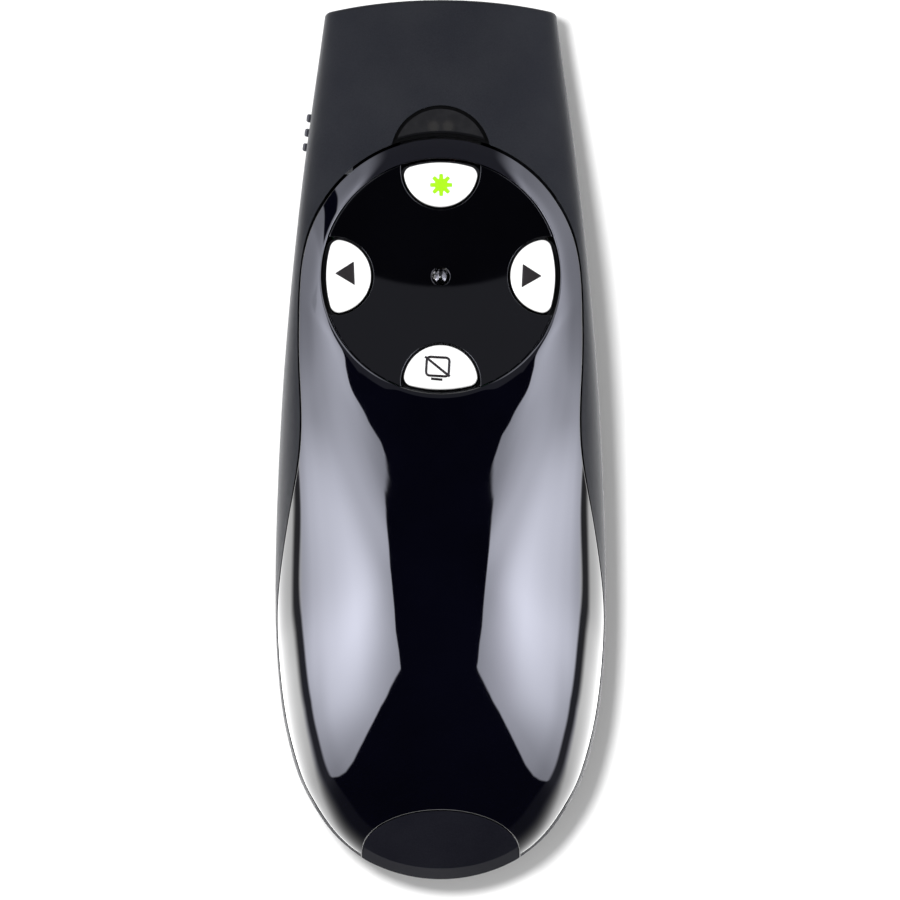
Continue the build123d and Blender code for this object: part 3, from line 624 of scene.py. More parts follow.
star_c = px(441.2, 185.7)
star = printed_fan("symbol_laser_star", 0, star_c, star_outline(*star_c, 11.1 * 0.1365, 6.6 * 0.1365, 4.2 * 0.1365))
left_tri = [px(335.3, 273.9), px(355.2, 285.8), px(354.2, 261.9)]
left_c = tuple(sum(p[i] for p in left_tri) / 3 for i in (0, 1))
arrow_left = printed_fan("symbol_previous_arrow", 1, left_c, soft_triangle(left_tri))
right_tri = [px(541.6, 276.6), px(522.5, 264.4), px(521.3, 288.1)]
right_c = tuple(sum(p[i] for p in right_tri) / 3 for i in (0, 1))
arrow_right = printed_fan("symbol_next_arrow", 3, right_c, soft_triangle(right_tri))


def rounded_rect(cx, cy, w, h, r, turn, steps=5):
    out = []
    for qx, qy, a0 in ((1, 1, 0), (-1, 1, 90), (-1, -1, 180), (1, -1, 270)):
        for i in range(steps + 1):
            a = math.radians(a0 + 90 * i / steps)
            x, y = qx * (w / 2 - r) + r * math.cos(a), qy * (h / 2 - r) + r * math.sin(a)
            c, s = math.cos(turn), math.sin(turn)
            out.append((cx + x * c - y * s, cy + x * s + y * c))
    return out + [out[0]]


icon_c = px(437.8, 366.9)
icon_lines = [
    rounded_rect(icon_c[0], icon_c[1], 22.6 * 0.1365, 18.6 * 0.1365, 3.6 * 0.1365, math.radians(-3.4)),
    [px(425.1, 356.8), px(449.8, 376.8)],
    [px(431.1, 378.9), px(442.4, 380.0)],
]
icon = printed_stroke("symbol_blank_screen", 2, icon_lines, 2.5 * 0.1365)


# ------------------------------------------------------------------ materials
def lin(*rgb):
    """8-bit display values to scene-linear."""
    return tuple((c / 255 / 12.92) if c / 255 <= 0.04045 else ((c / 255 + 0.055) / 1.055) ** 2.4 for c in rgb) + (1.0,)


class Mat:
    def __init__(self, name):
        self.mat = bpy.data.materials.new(name)
        self.mat.use_nodes = True
        self.nt = self.mat.node_tree
        self.nt.nodes.clear()
        self.out = self.nt.nodes.new("ShaderNodeOutputMaterial")
        self.bsdf = self.nt.nodes.new("ShaderNodeBsdfPrincipled")
        self.nt.links.new(self.bsdf.outputs[0], self.out.inputs[0])
        self.tc = self.nt.nodes.new("ShaderNodeTexCoord")
        self.obj = self.tc.outputs["Object"]

    def set(self, **kw):
        for k, v in kw.items():
            self.bsdf.inputs[k.replace("_", " ")].default_value = v
        return self

    def node(self, kind, **kw):
        n = self.nt.nodes.new(kind)
        for k, v in kw.items():
            setattr(n, k, v)
        return n

    def link(self, a, b):
        self.nt.links.new(a, b)

    def noise(self, per_mm, detail=2.0, rough=0.5, vec=None):
        n = self.node("ShaderNodeTexNoise")
        n.inputs["Scale"].default_value = per_mm * 1000.0
        n.inputs["Detail"].default_value = detail
        n.inputs["Roughness"].default_value = rough
        self.link(vec or self.obj, n.inputs["Vector"])
        return n.outputs["Fac"]

    def voronoi(self, per_mm, vec=None, feature="F1"):
        n = self.node("ShaderNodeTexVoronoi", feature=feature)
        n.inputs["Scale"].default_value = per_mm * 1000.0
        self.link(vec or self.obj, n.inputs["Vector"])
        return n.outputs["Distance"]

    def ramp(self, fac, lo, hi, a, b, smooth=False):
        n = self.node("ShaderNodeMapRange", interpolation_type="SMOOTHSTEP" if smooth else "LINEAR")
        self.link(fac, n.inputs["Value"])
        n.inputs["From Min"].default_value = lo
        n.inputs["From Max"].default_value = hi
        n.inputs["To Min"].default_value = a
        n.inputs["To Max"].default_value = b
        return n.outputs["Result"]

    def mix(self, fac, a, b):
        n = self.node("ShaderNodeMix", data_type="RGBA")
        if hasattr(fac, "links"):
            self.link(fac, n.inputs[0])
        else:
            n.inputs[0].default_value = fac
        for sock, v in ((n.inputs[6], a), (n.inputs[7], b)):
            if hasattr(v, "links"):
                self.link(v, sock)
            else:
                sock.default_value = v
        return n.outputs[2]

    def math(self, op, a, b=None, clamp=False):
        n = self.node("ShaderNodeMath", operation=op, use_clamp=clamp)
        for sock, v in ((n.inputs[0], a), (n.inputs[1], b)):
            if v is None:
                continue
            if hasattr(v, "links"):
                self.link(v, sock)
            else:
                sock.default_value = v
        return n.outputs[0]

    def xyz(self):
        n = self.node("ShaderNodeSeparateXYZ")
        self.link(self.obj, n.inputs[0])
        return n.outputs

    def bump(self, height, strength, dist_mm=0.05):
        n = self.node("ShaderNodeBump")
        n.inputs["Strength"].default_value = strength
        n.inputs["Distance"].default_value = dist_mm * MM
        self.link(height, n.inputs["Height"])
        self.link(n.outputs[0], self.bsdf.inputs["Normal"])
        return n

    def color(self, sock):
        self.link(sock, self.bsdf.inputs["Base Color"])

    def rough(self, sock):
        self.link(sock, self.bsdf.inputs["Roughness"])


def soft_plastic(name, lo, hi, rough=(0.5, 0.6), spec=0.18, grain=5.0, bump=0.22, sheen=0.0):
    """Matte, faintly speckled moulded plastic."""
    m = Mat(name)
    n1 = m.noise(grain, 3.0, 0.6)
    n2 = m.noise(0.12, 3.0, 0.55)
    mixed = m.math("ADD", m.math("MULTIPLY", n1, 0.55), m.math("MULTIPLY", n2, 0.45))
    m.color(m.mix(m.ramp(mixed, 0.38, 0.62, 0.0, 1.0), lo, hi))
    m.rough(m.ramp(n1, 0.3, 0.7, rough[0], rough[1]))
    m.set(Specular_IOR_Level=spec, IOR=1.5)
    if sheen:
        m.set(Sheen_Weight=sheen, Sheen_Roughness=0.5)
    m.bump(n1, bump, 0.02)
    return m.mat


def gloss_plastic(name, lo, hi, rough=(0.02, 0.035), spec=0.5, peel=0.0):
    """Polished plastic with the faint haze that handling leaves."""
    m = Mat(name)
    n1 = m.noise(0.06, 4.0, 0.6)
    n2 = m.noise(1.6, 2.0, 0.5)
    m.color(m.mix(m.ramp(n1, 0.35, 0.65, 0.0, 1.0), lo, hi))
    m.rough(m.ramp(n1, 0.4, 0.7, rough[0], rough[1]))
    m.set(Specular_IOR_Level=spec, IOR=1.5)
    if peel:
        m.bump(n2, peel, 0.004)
    return m.mat


def metal(name, lo, hi, rough=(0.22, 0.36), brush=(1.0, 1.0, 1.0), grain=3.0):
    m = Mat(name)
    mp = m.node("ShaderNodeMapping")
    mp.inputs["Scale"].default_value = brush
    m.link(m.obj, mp.inputs["Vector"])
    n1 = m.noise(grain, 3.0, 0.6, mp.outputs[0])
    n2 = m.noise(0.3, 2.0, 0.5)
    m.color(m.mix(m.ramp(n2, 0.35, 0.65, 0.0, 1.0), lo, hi))
    m.rough(m.ramp(n1, 0.3, 0.7, rough[0], rough[1]))
    m.set(Metallic=1.0)
    m.bump(n1, 0.15, 0.01)
    return m.mat


case_soft = soft_plastic("case_soft_mat", (0.0079, 0.0085, 0.0108, 1), (0.0127, 0.0134, 0.0158, 1), spec=0.046, bump=0.4, sheen=0.036)
cap_soft = soft_plastic("cap_soft_mat", (0.0054, 0.0055, 0.0086, 1), (0.0086, 0.0088, 0.0124, 1), spec=0.006, bump=0.4, sheen=0.005)
shell_gloss = gloss_plastic("shell_gloss_mat", (0.0003, 0.0003, 0.0016, 1), (0.0006, 0.0006, 0.0026, 1), peel=0.02)
panel_gloss = gloss_plastic("panel_gloss_mat", (0.0003, 0.0003, 0.0007, 1), (0.0006, 0.0006, 0.0012, 1), peel=0.02)


def button_finish():
    """White buttons whose sides below the top are painted near black, as painted shade down in the gap."""
    m = Mat("button_white_mat")
    n1 = m.noise(0.06, 4.0, 0.6)
    n2 = m.noise(1.6, 2.0, 0.5)
    s = m.xyz()
    height = m.math("ADD", m.math("MULTIPLY", m.math("SUBTRACT", s[1], PANEL_Y * MM), math.sin(TILT)),
                    m.math("MULTIPLY", m.math("SUBTRACT", s[2], PANEL_Z * MM), math.cos(TILT)))
    top_outside_painted_shade = m.ramp(height, -0.82 * MM, -0.66 * MM, 0.0, 1.0, True)
    white = m.mix(m.ramp(n1, 0.35, 0.65, 0.0, 1.0), (0.68, 0.68, 0.68, 1), (0.74, 0.74, 0.735, 1))
    # below the top the colour is painted near black: painted shade in the gap round the button
    m.color(m.mix(top_outside_painted_shade, (0.003, 0.003, 0.003, 1), white))
    m.rough(m.math("ADD", m.ramp(n1, 0.4, 0.7, 0.12, 0.18), m.ramp(top_outside_painted_shade, 0.0, 1.0, 0.4, 0.0)))
    m.set(Specular_IOR_Level=0.4, IOR=1.5)
    m.bump(n2, 0.05, 0.004)
    return m.mat


button_white = button_finish()
black_plastic = soft_plastic("black_plastic_mat", (0.006, 0.006, 0.007, 1), (0.011, 0.011, 0.012, 1), (0.38, 0.5), 0.3, 3.0, 0.12)
black_rubber = soft_plastic("black_rubber_mat", (0.0008, 0.0008, 0.0008, 1), (0.0018, 0.0018, 0.0018, 1), (0.6, 0.75), 0.02, 4.0, 0.2)
slider_black = soft_plastic("slider_black_mat", (0.006, 0.006, 0.007, 1), (0.011, 0.011, 0.012, 1), (0.36, 0.48), 0.35, 4.0, 0.15)
bezel_black = soft_plastic("bezel_black_mat", (0.006, 0.006, 0.006, 1), (0.012, 0.012, 0.012, 1), (0.3, 0.42), 0.4, 3.0, 0.1)
switch_plunger = soft_plastic("switch_plunger_mat", (0.20, 0.19, 0.17, 1), (0.28, 0.27, 0.24, 1), (0.4, 0.5), 0.4, 3.0, 0.1)
usb_white = soft_plastic("usb_white_mat", (0.60, 0.60, 0.58, 1), (0.68, 0.68, 0.66, 1), (0.4, 0.5), 0.4, 3.0, 0.08)
# red painted darker than the insulation's own colour, as shade on the lead where it shows in the button gap
red_insulation_painted_dark = soft_plastic("red_insulation_mat", (0.045, 0.002, 0.002, 1), (0.065, 0.003, 0.003, 1), (0.38, 0.5), 0.4, 2.0, 0.1)
black_insulation = soft_plastic("black_insulation_mat", (0.008, 0.008, 0.008, 1), (0.015, 0.015, 0.015, 1), (0.38, 0.5), 0.4, 2.0, 0.1)
led_package = soft_plastic("led_package_mat", (0.62, 0.60, 0.50, 1), (0.74, 0.72, 0.62, 1), (0.25, 0.35), 0.5, 4.0, 0.08)
ceramic_chip = soft_plastic("ceramic_chip_mat", (0.24, 0.17, 0.11, 1), (0.34, 0.25, 0.17, 1), (0.3, 0.42), 0.5, 5.0, 0.15)
tin_can = metal("tin_can_mat", (0.52, 0.52, 0.51, 1), (0.62, 0.62, 0.60, 1), (0.25, 0.4))
brass = metal("brass_mat", (0.55, 0.38, 0.14, 1), (0.66, 0.47, 0.19, 1), (0.2, 0.34), (1, 0.1, 1))
diode_can = metal("diode_can_mat", (0.60, 0.50, 0.28, 1), (0.70, 0.60, 0.36, 1), (0.18, 0.3))
spring_nickel = metal("spring_nickel_mat", (0.58, 0.57, 0.54, 1), (0.68, 0.67, 0.64, 1), (0.18, 0.3))
usb_steel = metal("usb_steel_mat", (0.60, 0.60, 0.60, 1), (0.70, 0.70, 0.70, 1), (0.16, 0.3), (1, 0.06, 1), 6.0)
contact_gold = metal("contact_gold_mat", (0.78, 0.52, 0.17, 1), (0.88, 0.62, 0.24, 1), (0.14, 0.26), (1, 0.1, 1))
screw_steel = metal("screw_steel_mat", (0.30, 0.30, 0.31, 1), (0.42, 0.42, 0.43, 1), (0.24, 0.38))


def circuit_board():
    m = Mat("circuit_board_mat")
    mp = m.node("ShaderNodeMapping")
    mp.inputs["Scale"].default_value = (1.0, 1.0, 0.15)
    m.link(m.obj, mp.inputs["Vector"])
    v = m.node("ShaderNodeTexVoronoi", feature="F1", distance="CHEBYCHEV")
    v.inputs["Scale"].default_value = 420.0
    m.link(mp.outputs[0], v.inputs["Vector"])
    lines = m.math("PINGPONG", v.outputs["Distance"], 0.11)
    mask = m.ramp(lines, 0.035, 0.055, 0.0, 1.0, True)
    n = m.noise(2.0, 2.0, 0.5)
    base = m.mix(mask, (0.012, 0.075, 0.030, 1), (0.020, 0.115, 0.045, 1))
    m.color(m.mix(m.ramp(n, 0.4, 0.6, 0.0, 0.5), base, (0.010, 0.060, 0.026, 1)))
    m.rough(m.ramp(n, 0.3, 0.7, 0.26, 0.4))
    m.bump(mask, 0.25, 0.03)
    m.set(Specular_IOR_Level=0.5)
    return m.mat


def battery_jacket(y_plus, y_minus):
    """Foil jacket in three bands, with bare ends; the positive end is at y_plus (metres)."""
    m = Mat("battery_jacket_mat_%s" % ("left" if y_plus > y_minus else "right"))
    s = m.xyz()
    along = m.ramp(s[1], y_minus, y_plus, 0.0, 1.0)
    n = m.noise(2.5, 2.0, 0.5)
    gold = m.ramp(along, 0.700, 0.706, 0.0, 1.0)
    body = m.mix(gold, (0.012, 0.013, 0.016, 1), (0.42, 0.20, 0.055, 1))
    line = m.math("MULTIPLY", m.ramp(along, 0.682, 0.685, 0.0, 1.0), m.ramp(along, 0.694, 0.697, 1.0, 0.0))
    body = m.mix(line, body, (0.55, 0.55, 0.54, 1))
    bare = m.math("MAXIMUM", m.ramp(along, 0.981, 0.983, 0.0, 1.0), m.ramp(along, 0.003, 0.006, 1.0, 0.0))
    m.color(m.mix(bare, body, (0.60, 0.59, 0.57, 1)))
    m.link(m.math("MAXIMUM", m.math("MULTIPLY", gold, 0.7), bare), m.bsdf.inputs["Metallic"])
    m.rough(m.ramp(n, 0.3, 0.7, 0.2, 0.34))
    m.bump(n, 0.08, 0.01)
    return m.mat


def clear(name, tint, rough=0.04, ior=1.49):
    m = Mat(name)
    n = m.noise(1.2, 2.0, 0.5)
    m.color(m.mix(m.ramp(n, 0.35, 0.65, 0.0, 1.0), tint, tuple(c * 0.94 for c in tint[:3]) + (1.0,)))
    m.rough(m.ramp(n, 0.3, 0.7, rough, rough + 0.03))
    m.set(Transmission_Weight=1.0, IOR=ior)
    return m.mat


def smoked():
    m = Mat("smoked_window_mat")
    n = m.noise(0.8, 2.0, 0.5)
    tone = m.mix(m.ramp(n, 0.35, 0.65, 0.0, 1.0), (0.0095, 0.0095, 0.0105, 1), (0.0125, 0.0125, 0.0135, 1))
    # near black painted along the ring as shade of the gap round the window, and a painted glow of the two lamps
    # beneath
    s = m.xyz()
    dy = m.math("SUBTRACT", s[1], PANEL_Y * MM)
    r = m.math("SQRT", m.math("ADD", m.math("MULTIPLY", s[0], s[0]), m.math("MULTIPLY", dy, dy)))
    # painted shade: near black on the window's edge where the gap to the ring is in shade
    painted_gap_shade = m.ramp(r, 19.72 * MM, 19.84 * MM, 1.0, 0.0, True)
    ay = m.math("SUBTRACT", s[1], 42.7 * MM)
    ax = m.math("SUBTRACT", m.math("ABSOLUTE", s[0]), 1.0 * MM)
    d = m.math("SQRT", m.math("ADD", m.math("MULTIPLY", ax, ax), m.math("MULTIPLY", ay, ay)))
    # painted glow: lighter colour over the two lamps, which themselves give no light
    painted_lamp_glow = m.ramp(d, 0.25 * MM, 1.15 * MM, 0.34, 0.0, True)
    tone = m.mix(painted_lamp_glow, tone, (0.040, 0.038, 0.034, 1))
    m.color(m.mix(painted_gap_shade, tone, (0.0006, 0.0006, 0.0008, 1)))
    m.rough(m.ramp(n, 0.3, 0.7, 0.06, 0.10))
    m.set(Transmission_Weight=0.15, IOR=1.5, Specular_IOR_Level=0.2)
    return m.mat


def ink(name, lo, hi):
    m = Mat(name)
    n = m.noise(8.0, 2.0, 0.5)
    m.color(m.mix(m.ramp(n, 0.35, 0.65, 0.0, 1.0), lo, hi))
    m.rough(m.ramp(n, 0.3, 0.7, 0.28, 0.4))
    m.set(Specular_IOR_Level=0.1)
    m.bump(n, 0.05, 0.005)
    return m.mat


board_mat = circuit_board()
board_black = soft_plastic("board_black_mat", (0.003, 0.003, 0.003, 1), (0.006, 0.006, 0.006, 1), (0.4, 0.55), 0.1, 3.0, 0.1)
clear_mat = clear("clear_plastic_mat", (0.16, 0.16, 0.17, 1))
lens_mat = clear("lens_glass_mat", (0.80, 0.90, 0.84, 1), 0.02, 1.52)
smoked_mat = smoked()
green_ink = ink("green_ink_mat", (0.25, 0.78, 0.008, 1), (0.29, 0.86, 0.012, 1))
black_ink = ink("black_ink_mat", (0.007, 0.006, 0.006, 1), (0.012, 0.010, 0.010, 1))

finish = {
    "upper_case": case_soft, "lower_case": case_soft, "battery_door": case_soft, "receiver_cap": cap_soft,
    "top_shell": shell_gloss, "control_panel": panel_gloss,
    "laser_button": button_white, "previous_button": button_white, "next_button": button_white, "blank_button": button_white,
    "status_window": smoked_mat, "window_gasket": black_rubber, "indicator_lens": clear_mat,
    "indicator_led": led_package, "status_leds": led_package, "led_board": board_black,
    "main_pcb": board_mat, "receiver_pcb": board_mat, "laser_driver_pcb": board_mat,
    "button_switches": black_plastic, "radio_chip": black_plastic, "processor_chip": black_plastic,
    "receiver_chip": black_plastic, "receiver_body": black_plastic, "slide_switch_lever": black_plastic,
    "laser_switch_plunger": switch_plunger, "previous_switch_plunger": switch_plunger,
    "next_switch_plunger": switch_plunger, "blank_switch_plunger": switch_plunger,
    "crystal": tin_can, "slide_switch": tin_can, "pcb_capacitors": ceramic_chip,
    "power_slider": slider_black, "laser_barrel": brass, "laser_lens": lens_mat, "laser_window": lens_mat,
    "laser_diode": diode_can, "laser_bezel": bezel_black,
    "laser_lead_red": red_insulation_painted_dark, "laser_lead_black": black_insulation,
    "battery_left": battery_jacket(0.020, -0.0245), "battery_right": battery_jacket(-0.0245, 0.020),
    "battery_springs": spring_nickel, "battery_contacts": spring_nickel,
    "usb_shell": usb_steel, "usb_insulator": usb_white, "usb_contacts": contact_gold,
    "case_screws": screw_steel, "panel_screws": screw_steel,
}
for name, ob in nodes.items():
    ob.data.materials.clear()
    ob.data.materials.append(finish[name])


def piece(ob, body, mat, slot, *replaced):
    ob.data.materials.clear()
    ob.data.materials.append(mat)
    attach(ob, body)
    if replaced:
        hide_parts(*replaced)


piece(shell, "housing", shell_gloss, "shell_gloss", "top_shell")
piece(plate, "housing", panel_gloss, "panel_gloss", "control_panel")
piece(star, "laser_button", green_ink, "button_white")
piece(arrow_left, "previous_button", black_ink, "button_white")
piece(arrow_right, "next_button", black_ink, "button_white")
piece(icon, "blank_button", black_ink, "button_white")


# ------------------------------------------------------------------ floor
def stage_floor():
    n, rings = 96, [0.0, 0.08, 0.2, 0.5, 1.2, 3.0, 8.0]
    verts = [(0, 0, 0)]
    for r in rings[1:]:
        verts += [(r * math.cos(2 * math.pi * i / n), r * math.sin(2 * math.pi * i / n), 0) for i in range(n)]
    faces = [(0, 1 + i, 1 + (i + 1) % n) for i in range(n)]
    for k in range(len(rings) - 2):
        a, b = 1 + k * n, 1 + (k + 1) * n
        faces += [(a + i, b + i, b + (i + 1) % n, a + (i + 1) % n) for i in range(n)]
    me = bpy.data.meshes.new("floor")
    me.from_pydata(verts, [], faces)
    ob = bpy.data.objects.new("floor", me)
    scene.collection.objects.link(ob)
    m = Mat("floor_mat")
    nz = m.noise(0.02, 3.0, 0.5)
    m.color(m.mix(m.ramp(nz, 0.35, 0.65, 0.0, 1.0), (0.84, 0.84, 0.84, 1), (0.86, 0.86, 0.86, 1)))
    m.rough(m.ramp(nz, 0.3, 0.7, 0.9, 1.0))
    m.set(Specular_IOR_Level=0.0)
    me.materials.append(m.mat)
    ob.visible_glossy = False
    return ob


floor = stage_floor()


# ------------------------------------------------------------------ studio surroundings
def build_world():
    """Plain studio: pale for the camera and for soft light; polished surfaces see two long soft panels and a dark ceiling."""
    world = bpy.data.worlds.new("studio")
    scene.world = world
    world.use_nodes = True
    nt = world.node_tree
    nt.nodes.clear()
    L = nt.links.new

    def node(kind, **kw):
        n = nt.nodes.new(kind)
        for k, v in kw.items():
            setattr(n, k, v)
        return n

    def m(op, a, b=None, c=None, clamp=False):
        n = node("ShaderNodeMath", operation=op, use_clamp=clamp)
        for i, v in enumerate((a, b, c)):
            if v is None:
                continue
            if hasattr(v, "links"):
                L(v, n.inputs[i])
            else:
                n.inputs[i].default_value = v
        return n.outputs[0]

    def step(v, lo, hi, a=0.0, b=1.0):
        n = node("ShaderNodeMapRange", interpolation_type="SMOOTHSTEP")
        L(v, n.inputs["Value"])
        n.inputs["From Min"].default_value = lo
        n.inputs["From Max"].default_value = hi
        n.inputs["To Min"].default_value = a
        n.inputs["To Max"].default_value = b
        return n.outputs["Result"]

    def curve(v, lo, hi, pairs, scale=1.0, soft=False):
        """A value read off straight lines through (station, value) pairs."""
        n = node("ShaderNodeValToRGB")
        L(m("DIVIDE", m("SUBTRACT", v, lo), hi - lo), n.inputs[0])
        n.color_ramp.interpolation = "B_SPLINE" if soft else "LINEAR"
        pairs = sorted(pairs)
        stops = n.color_ramp.elements
        for e, (at, val) in ((stops[0], pairs[0]), (stops[1], pairs[-1])):
            e.position = (at - lo) / (hi - lo)
            e.color = (val / scale, val / scale, val / scale, 1)
        for at, val in pairs[1:-1]:
            e = stops.new((at - lo) / (hi - lo))
            e.color = (val / scale, val / scale, val / scale, 1)
        return m("MULTIPLY", n.outputs[0], scale)

    tc = node("ShaderNodeTexCoord")
    sep = node("ShaderNodeSeparateXYZ")
    L(tc.outputs["Generated"], sep.inputs[0])
    x, y, z = sep.outputs
    polar = m("MULTIPLY", m("ARCCOSINE", m("MINIMUM", m("MAXIMUM", z, -1.0), 1.0)), 180 / math.pi)
    ax = m("ABSOLUTE", x)
    bearing = m("MULTIPLY", m("ARCTAN2", y, ax), 180 / math.pi)      # -90 at the tail, +90 at the nose, both sides alike
    left = m("LESS_THAN", x, 0.0)
    right = m("SUBTRACT", 1.0, left)
    flat = m("MAXIMUM", m("SQRT", m("ADD", m("MULTIPLY", x, x), m("MULTIPLY", y, y))), 1e-6)

    # upper edge of the two long side panels
    top_edge = curve(bearing, -90, 90, [
        (-90, 26), (-43, 23.8), (-36, 22.4), (-27, 21.5), (-19, 20.2), (-12, 19.35), (-6, 18.5), (-1, 17.35), (4, 16.15),
        (10, 14.7), (17, 13.5), (20, 12.8), (25, 12.0), (30, 11.35), (36, 10.9), (40, 10.8), (50, 12.5), (60, 17), (70, 21),
        (80, 26), (90, 34)], 90.0)
    side = m("SUBTRACT", m("MULTIPLY", left, 2.0), 1.0)
    uneven = curve(bearing, -90, 90, [(-90, .9), (-42, .9), (-27, 1.05), (-19, 1.0), (-12, .97), (-6, .93), (-1, .63), (4, .57),
                                      (10, .38), (20, .22), (30, .08), (36, .15), (90, .25)], 1.2)
    top_edge = m("ADD", top_edge, m("MULTIPLY", side, uneven))
    up = step(m("SUBTRACT", polar, top_edge), -0.25, 0.25)
    # their front ends are cut off on a slant
    across = m("MULTIPLY", polar, m("DIVIDE", ax, flat))
    along = m("MULTIPLY", polar, m("DIVIDE", y, flat))
    near = curve(m("SUBTRACT", along, m("MULTIPLY", right, 0.3)), 0, 30, [
        (0, 0), (7.0, 0), (7.3, 6.0), (7.7, 8.2), (8.0, 9.4), (8.3, 10.3), (8.7, 11.3), (9.1, 12.2), (9.5, 13.1), (9.9, 13.8),
        (10.3, 14.3), (10.8, 14.1), (12, 13.1), (14, 11.6), (16.5, 10.3), (30, 9)], 20.0)
    near = m("SUBTRACT", near, right)
    up = m("MULTIPLY", up, step(m("SUBTRACT", across, near), -0.3, 0.3))
    # lower edge of the panels, and the dark strip between them and the ground
    foot = curve(bearing, -90, 90, [(-90, 81), (-40, 81), (-22, 81.5), (-14, 82.8), (-10, 86), (-8, 87.7), (-7, 89), (-6, 90.5),
                                       (-5.5, 91.5), (-5, 93), (-4.5, 95.5), (-3, 97), (90, 97)], 100.0)
    up = m("MULTIPLY", up, step(m("SUBTRACT", polar, foot), -1.8, 1.8, 1.0, 0.0))
    rear = curve(polar, 0, 100, [(0, 48), (24, 47.5), (27, 49.2), (30, 50.6), (36, 51.6), (40, 51), (45, 50.1), (50, 49.1), (60, 47.9),
                                 (68, 48.2), (74, 49.8), (80, 52.5), (86, 57), (100, 60)], 60.0)
    rear = m("SUBTRACT", m("ADD", rear, m("MULTIPLY", left, 2.2)), 92.2)
    rear_edge = step(m("SUBTRACT", bearing, rear), -0.6, 0.6)
    fade = step(bearing, 61.0, 71.0, 1.0, 0.0)
    # the left panel is split from the one above it by a dark gap that runs across
    w = m("MULTIPLY", polar, m("SUBTRACT", m("DIVIDE", y, flat), m("MULTIPLY", m("DIVIDE", ax, flat), 0.95)))
    split = m("ADD", m("MULTIPLY", step(w, -9.9, -8.3, 1.0, 0.0), 0.78), m("MULTIPLY", step(w, 4.2, 5.8), 0.84))
    ahead = m("MULTIPLY", m("MULTIPLY", left, step(bearing, 27.0, 31.0)), step(polar, 40.0, 43.0))
    split = m("ADD", m("MULTIPLY", split, ahead), m("SUBTRACT", 1.0, ahead))
    shape = m("MULTIPLY", m("MULTIPLY", up, rear_edge), m("MULTIPLY", fade, split))
    # brightness over the panels: a broad glow and a hotter part behind the middle
    glow = m("MULTIPLY", curve(polar, 0, 100, [(0, .5), (12, .6), (14, .72), (17, .9), (23, 1), (32, 1), (44, .95), (61, .75),
                                               (77, .65), (88, .55), (100, .5)], 1.0, True),
             curve(bearing, -90, 90, [(-90, .8), (-42, .85), (-30, 1), (-4, 1), (4, .8), (12, .74), (22, .76), (30, .86), (45, .80), (60, .6), (90, .6)], 1.0, True))
    hot = m("MULTIPLY", curve(polar, 0, 100, [(0, 0), (22, .05), (27, .25), (33, .6), (40, .95), (44, 1), (50, .95), (56, .85),
                                              (66, .75), (77, .55), (88, .2), (100, .2)], 1.0, True),
            curve(bearing, -90, 90, [(-90, 0), (-37, 0), (-27, .35), (-17, 1), (-11, 1), (-7.5, .72), (-4.5, .32), (-1, .08), (4, 0), (90, 0)], 1.0, True))
    # the panels' front, middle and rear stretches fall off differently with height
    fwd = curve(polar, 0, 100, [(0, 1.1), (12, 1.15), (16, 1.30), (20, 1.32), (24, 1.30), (28, 1.23), (32, 1.13), (36, 1.0), (40, .94),
                                (46, .84), (52, .74), (60, .73), (68, .78), (80, .8), (100, .8)], 1.5, True)
    mid = curve(polar, 0, 100, [(0, .9), (18, .85), (24, .97), (27, 1.05), (31, 1.12), (35, 1.1), (40, 1.0), (46, .92), (52, .95),
                                (58, .98), (64, 1.06), (72, 1.1), (77, 1.2), (90, 1.25), (100, 1.25)], 1.5, True)
    aft = curve(polar, 0, 100, [(0, .8), (20, .82), (26, .9), (33, .97), (56, .97), (64, .92), (68, .85), (73, .76), (80, .8), (100, .8)], 1.5, True)
    to_front = step(bearing, -9.0, 3.0)
    to_mid = step(bearing, -17.0, -5.0)
    trim = m("ADD", m("MULTIPLY", aft, m("SUBTRACT", 1.0, to_mid)), m("MULTIPLY", to_mid, m("ADD",
             m("MULTIPLY", mid, m("SUBTRACT", 1.0, to_front)), m("MULTIPLY", fwd, to_front))))
    balance = m("ADD", left, m("MULTIPLY", right, curve(bearing, -90, 90, [
        (-90, .93), (-14, .94), (-8, 1.03), (-3, 1.08), (3, 1.04), (10, 1.0), (90, 1.0)], 1.5, True)))
    trim = m("MULTIPLY", trim, balance)
    panels = m("MULTIPLY", m("MULTIPLY", shape, trim), m("ADD", m("MULTIPLY", glow, 8.7), m("MULTIPLY", hot, 11.0)))
    grey_front = m("MULTIPLY", m("MULTIPLY", step(polar, 14.7, 14.95), step(bearing, 57.0, 60.0)), 0.30)
    grey_front = m("MULTIPLY", grey_front, step(polar, 86.0, 90.0, 1.0, 0.0))
    rise = node("ShaderNodeMapRange", interpolation_type="SMOOTHSTEP")
    L(m("SUBTRACT", polar, foot), rise.inputs["Value"])
    rise.inputs["From Min"].default_value = 6.8
    L(curve(bearing, -90, 90, [(-90, 30), (-76, 48), (-60, 58), (-50, 52), (-42, 40), (-34, 25), (-26, 18), (-16, 15.5), (90, 15)], 60.0),
      rise.inputs["From Max"])
    ground = m("MULTIPLY", rise.outputs["Result"], curve(bearing, -90, 90, [
        (-90, 6.0), (-80, 3.0), (-70, 2.5), (-62, 3.2), (-50, 4.6), (-41, 5.1), (-30, 6.0), (-20, 7.6), (-12, 8.4), (-8, 8.2),
        (-5, 6.8), (-3.5, 5.2), (-2, 4.2), (1, 3.0), (6, 2.4), (90, 2.0)], 10.0))
    between = m("MULTIPLY", step(m("SUBTRACT", polar, foot), -3.0, 0.0), curve(bearing, -90, 90, [
        (-90, .05), (-47, .08), (-42, .14), (-36, .30), (90, .30)]))
    total = m("ADD", m("ADD", m("ADD", panels, grey_front), between), m("ADD", ground, 0.02))
    tint = node("ShaderNodeMix", data_type="RGBA")
    L(step(polar, 88.0, 98.0), tint.inputs[0])
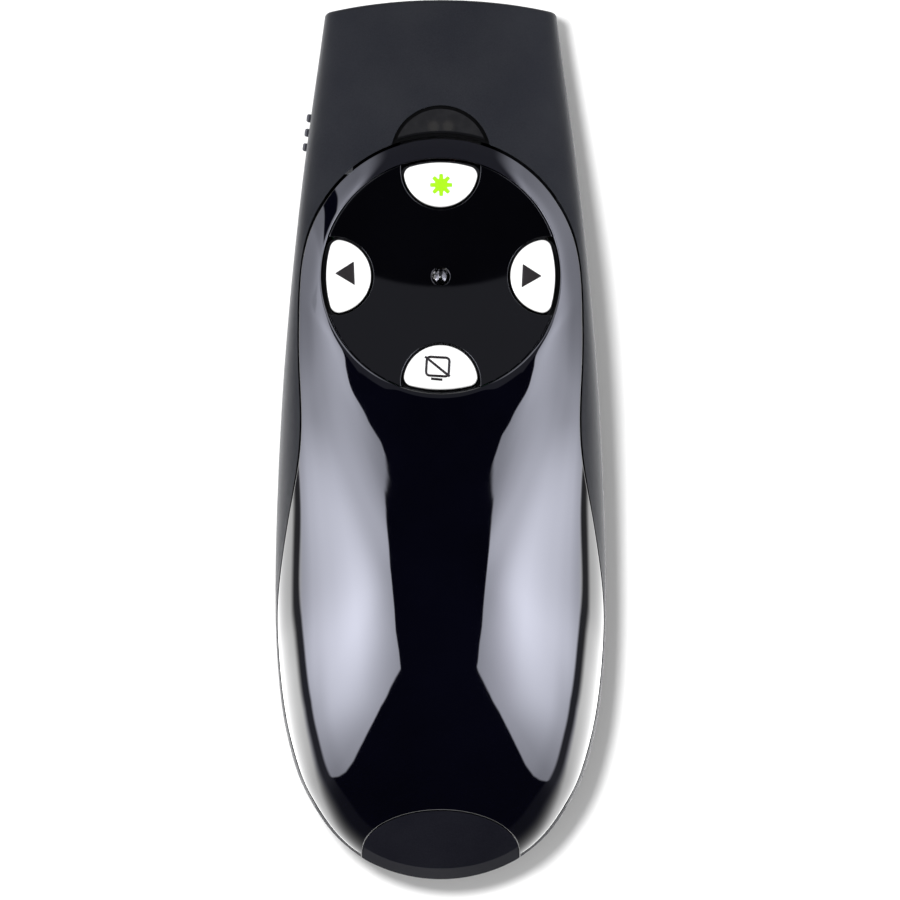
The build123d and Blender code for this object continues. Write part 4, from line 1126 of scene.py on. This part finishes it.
    tint.inputs[6].default_value = (0.95, 0.97, 1.13, 1)
    tint.inputs[7].default_value = (1.0, 1.0, 1.0, 1)
    glossy = node("ShaderNodeBackground")
    L(tint.outputs[2], glossy.inputs[0])
    L(total, glossy.inputs[1])
    soft = node("ShaderNodeBackground")
    soft.inputs[0].default_value = (1.0, 1.0, 1.0, 1)
    soft.inputs[1].default_value = 0.70
    seen = node("ShaderNodeBackground")
    seen.inputs[0].default_value = (1.0, 1.0, 1.0, 1)
    seen.inputs[1].default_value = 1.0
    lp = node("ShaderNodeLightPath")
    mix1 = node("ShaderNodeMixShader")
    L(lp.outputs["Is Glossy Ray"], mix1.inputs[0])
    L(soft.outputs[0], mix1.inputs[1])
    L(glossy.outputs[0], mix1.inputs[2])
    mix2 = node("ShaderNodeMixShader")
    L(lp.outputs["Is Camera Ray"], mix2.inputs[0])
    L(mix1.outputs[0], mix2.inputs[1])
    L(seen.outputs[0], mix2.inputs[2])
    out = node("ShaderNodeOutputWorld")
    L(mix2.outputs[0], out.inputs[0])
    world.cycles.sampling_method = "MANUAL"
    world.cycles.sample_map_resolution = 1024
    return world


build_world()


def area_light(name, place, target, size, power, glossy=True):
    data = bpy.data.lights.new(name, "AREA")
    data.shape = "DISK"
    data.size = size
    data.energy = power
    ob = bpy.data.objects.new(name, data)
    scene.collection.objects.link(ob)
    ob.location = place
    ob.rotation_mode = "QUATERNION"
    ob.rotation_quaternion = (Vector(target) - Vector(place)).to_track_quat("-Z", "Y")
    ob.visible_glossy = glossy
    ob.visible_camera = False
    return ob


key = area_light("key_light", (-0.135, 0.125, 0.85), (0, 0, 0.01), 0.14, 7.6, glossy=False)

# ------------------------------------------------------------------ camera: straight down, long lens
cam_data = bpy.data.cameras.new("camera")
cam_data.lens = 1000.0
cam_data.sensor_width = 36.0
cam_data.clip_start, cam_data.clip_end = 0.1, 30.0
cam = bpy.data.objects.new("camera", cam_data)
scene.collection.objects.link(cam)
cam.location = (1.27 * MM, -1.39 * MM, 0.012 + 1000.0 * 0.12285 / 36.0)
cam.rotation_euler = (0, 0, 0)
scene.camera = cam

scene.view_settings.view_transform = "Standard"
scene.view_settings.look = "None"
scene.cycles.use_denoising = True
scene.cycles.max_bounces = 10
scene.cycles.glossy_bounces = 6
scene.cycles.transmission_bounces = 8
scene.cycles.caustics_reflective = False
scene.cycles.caustics_refractive = False
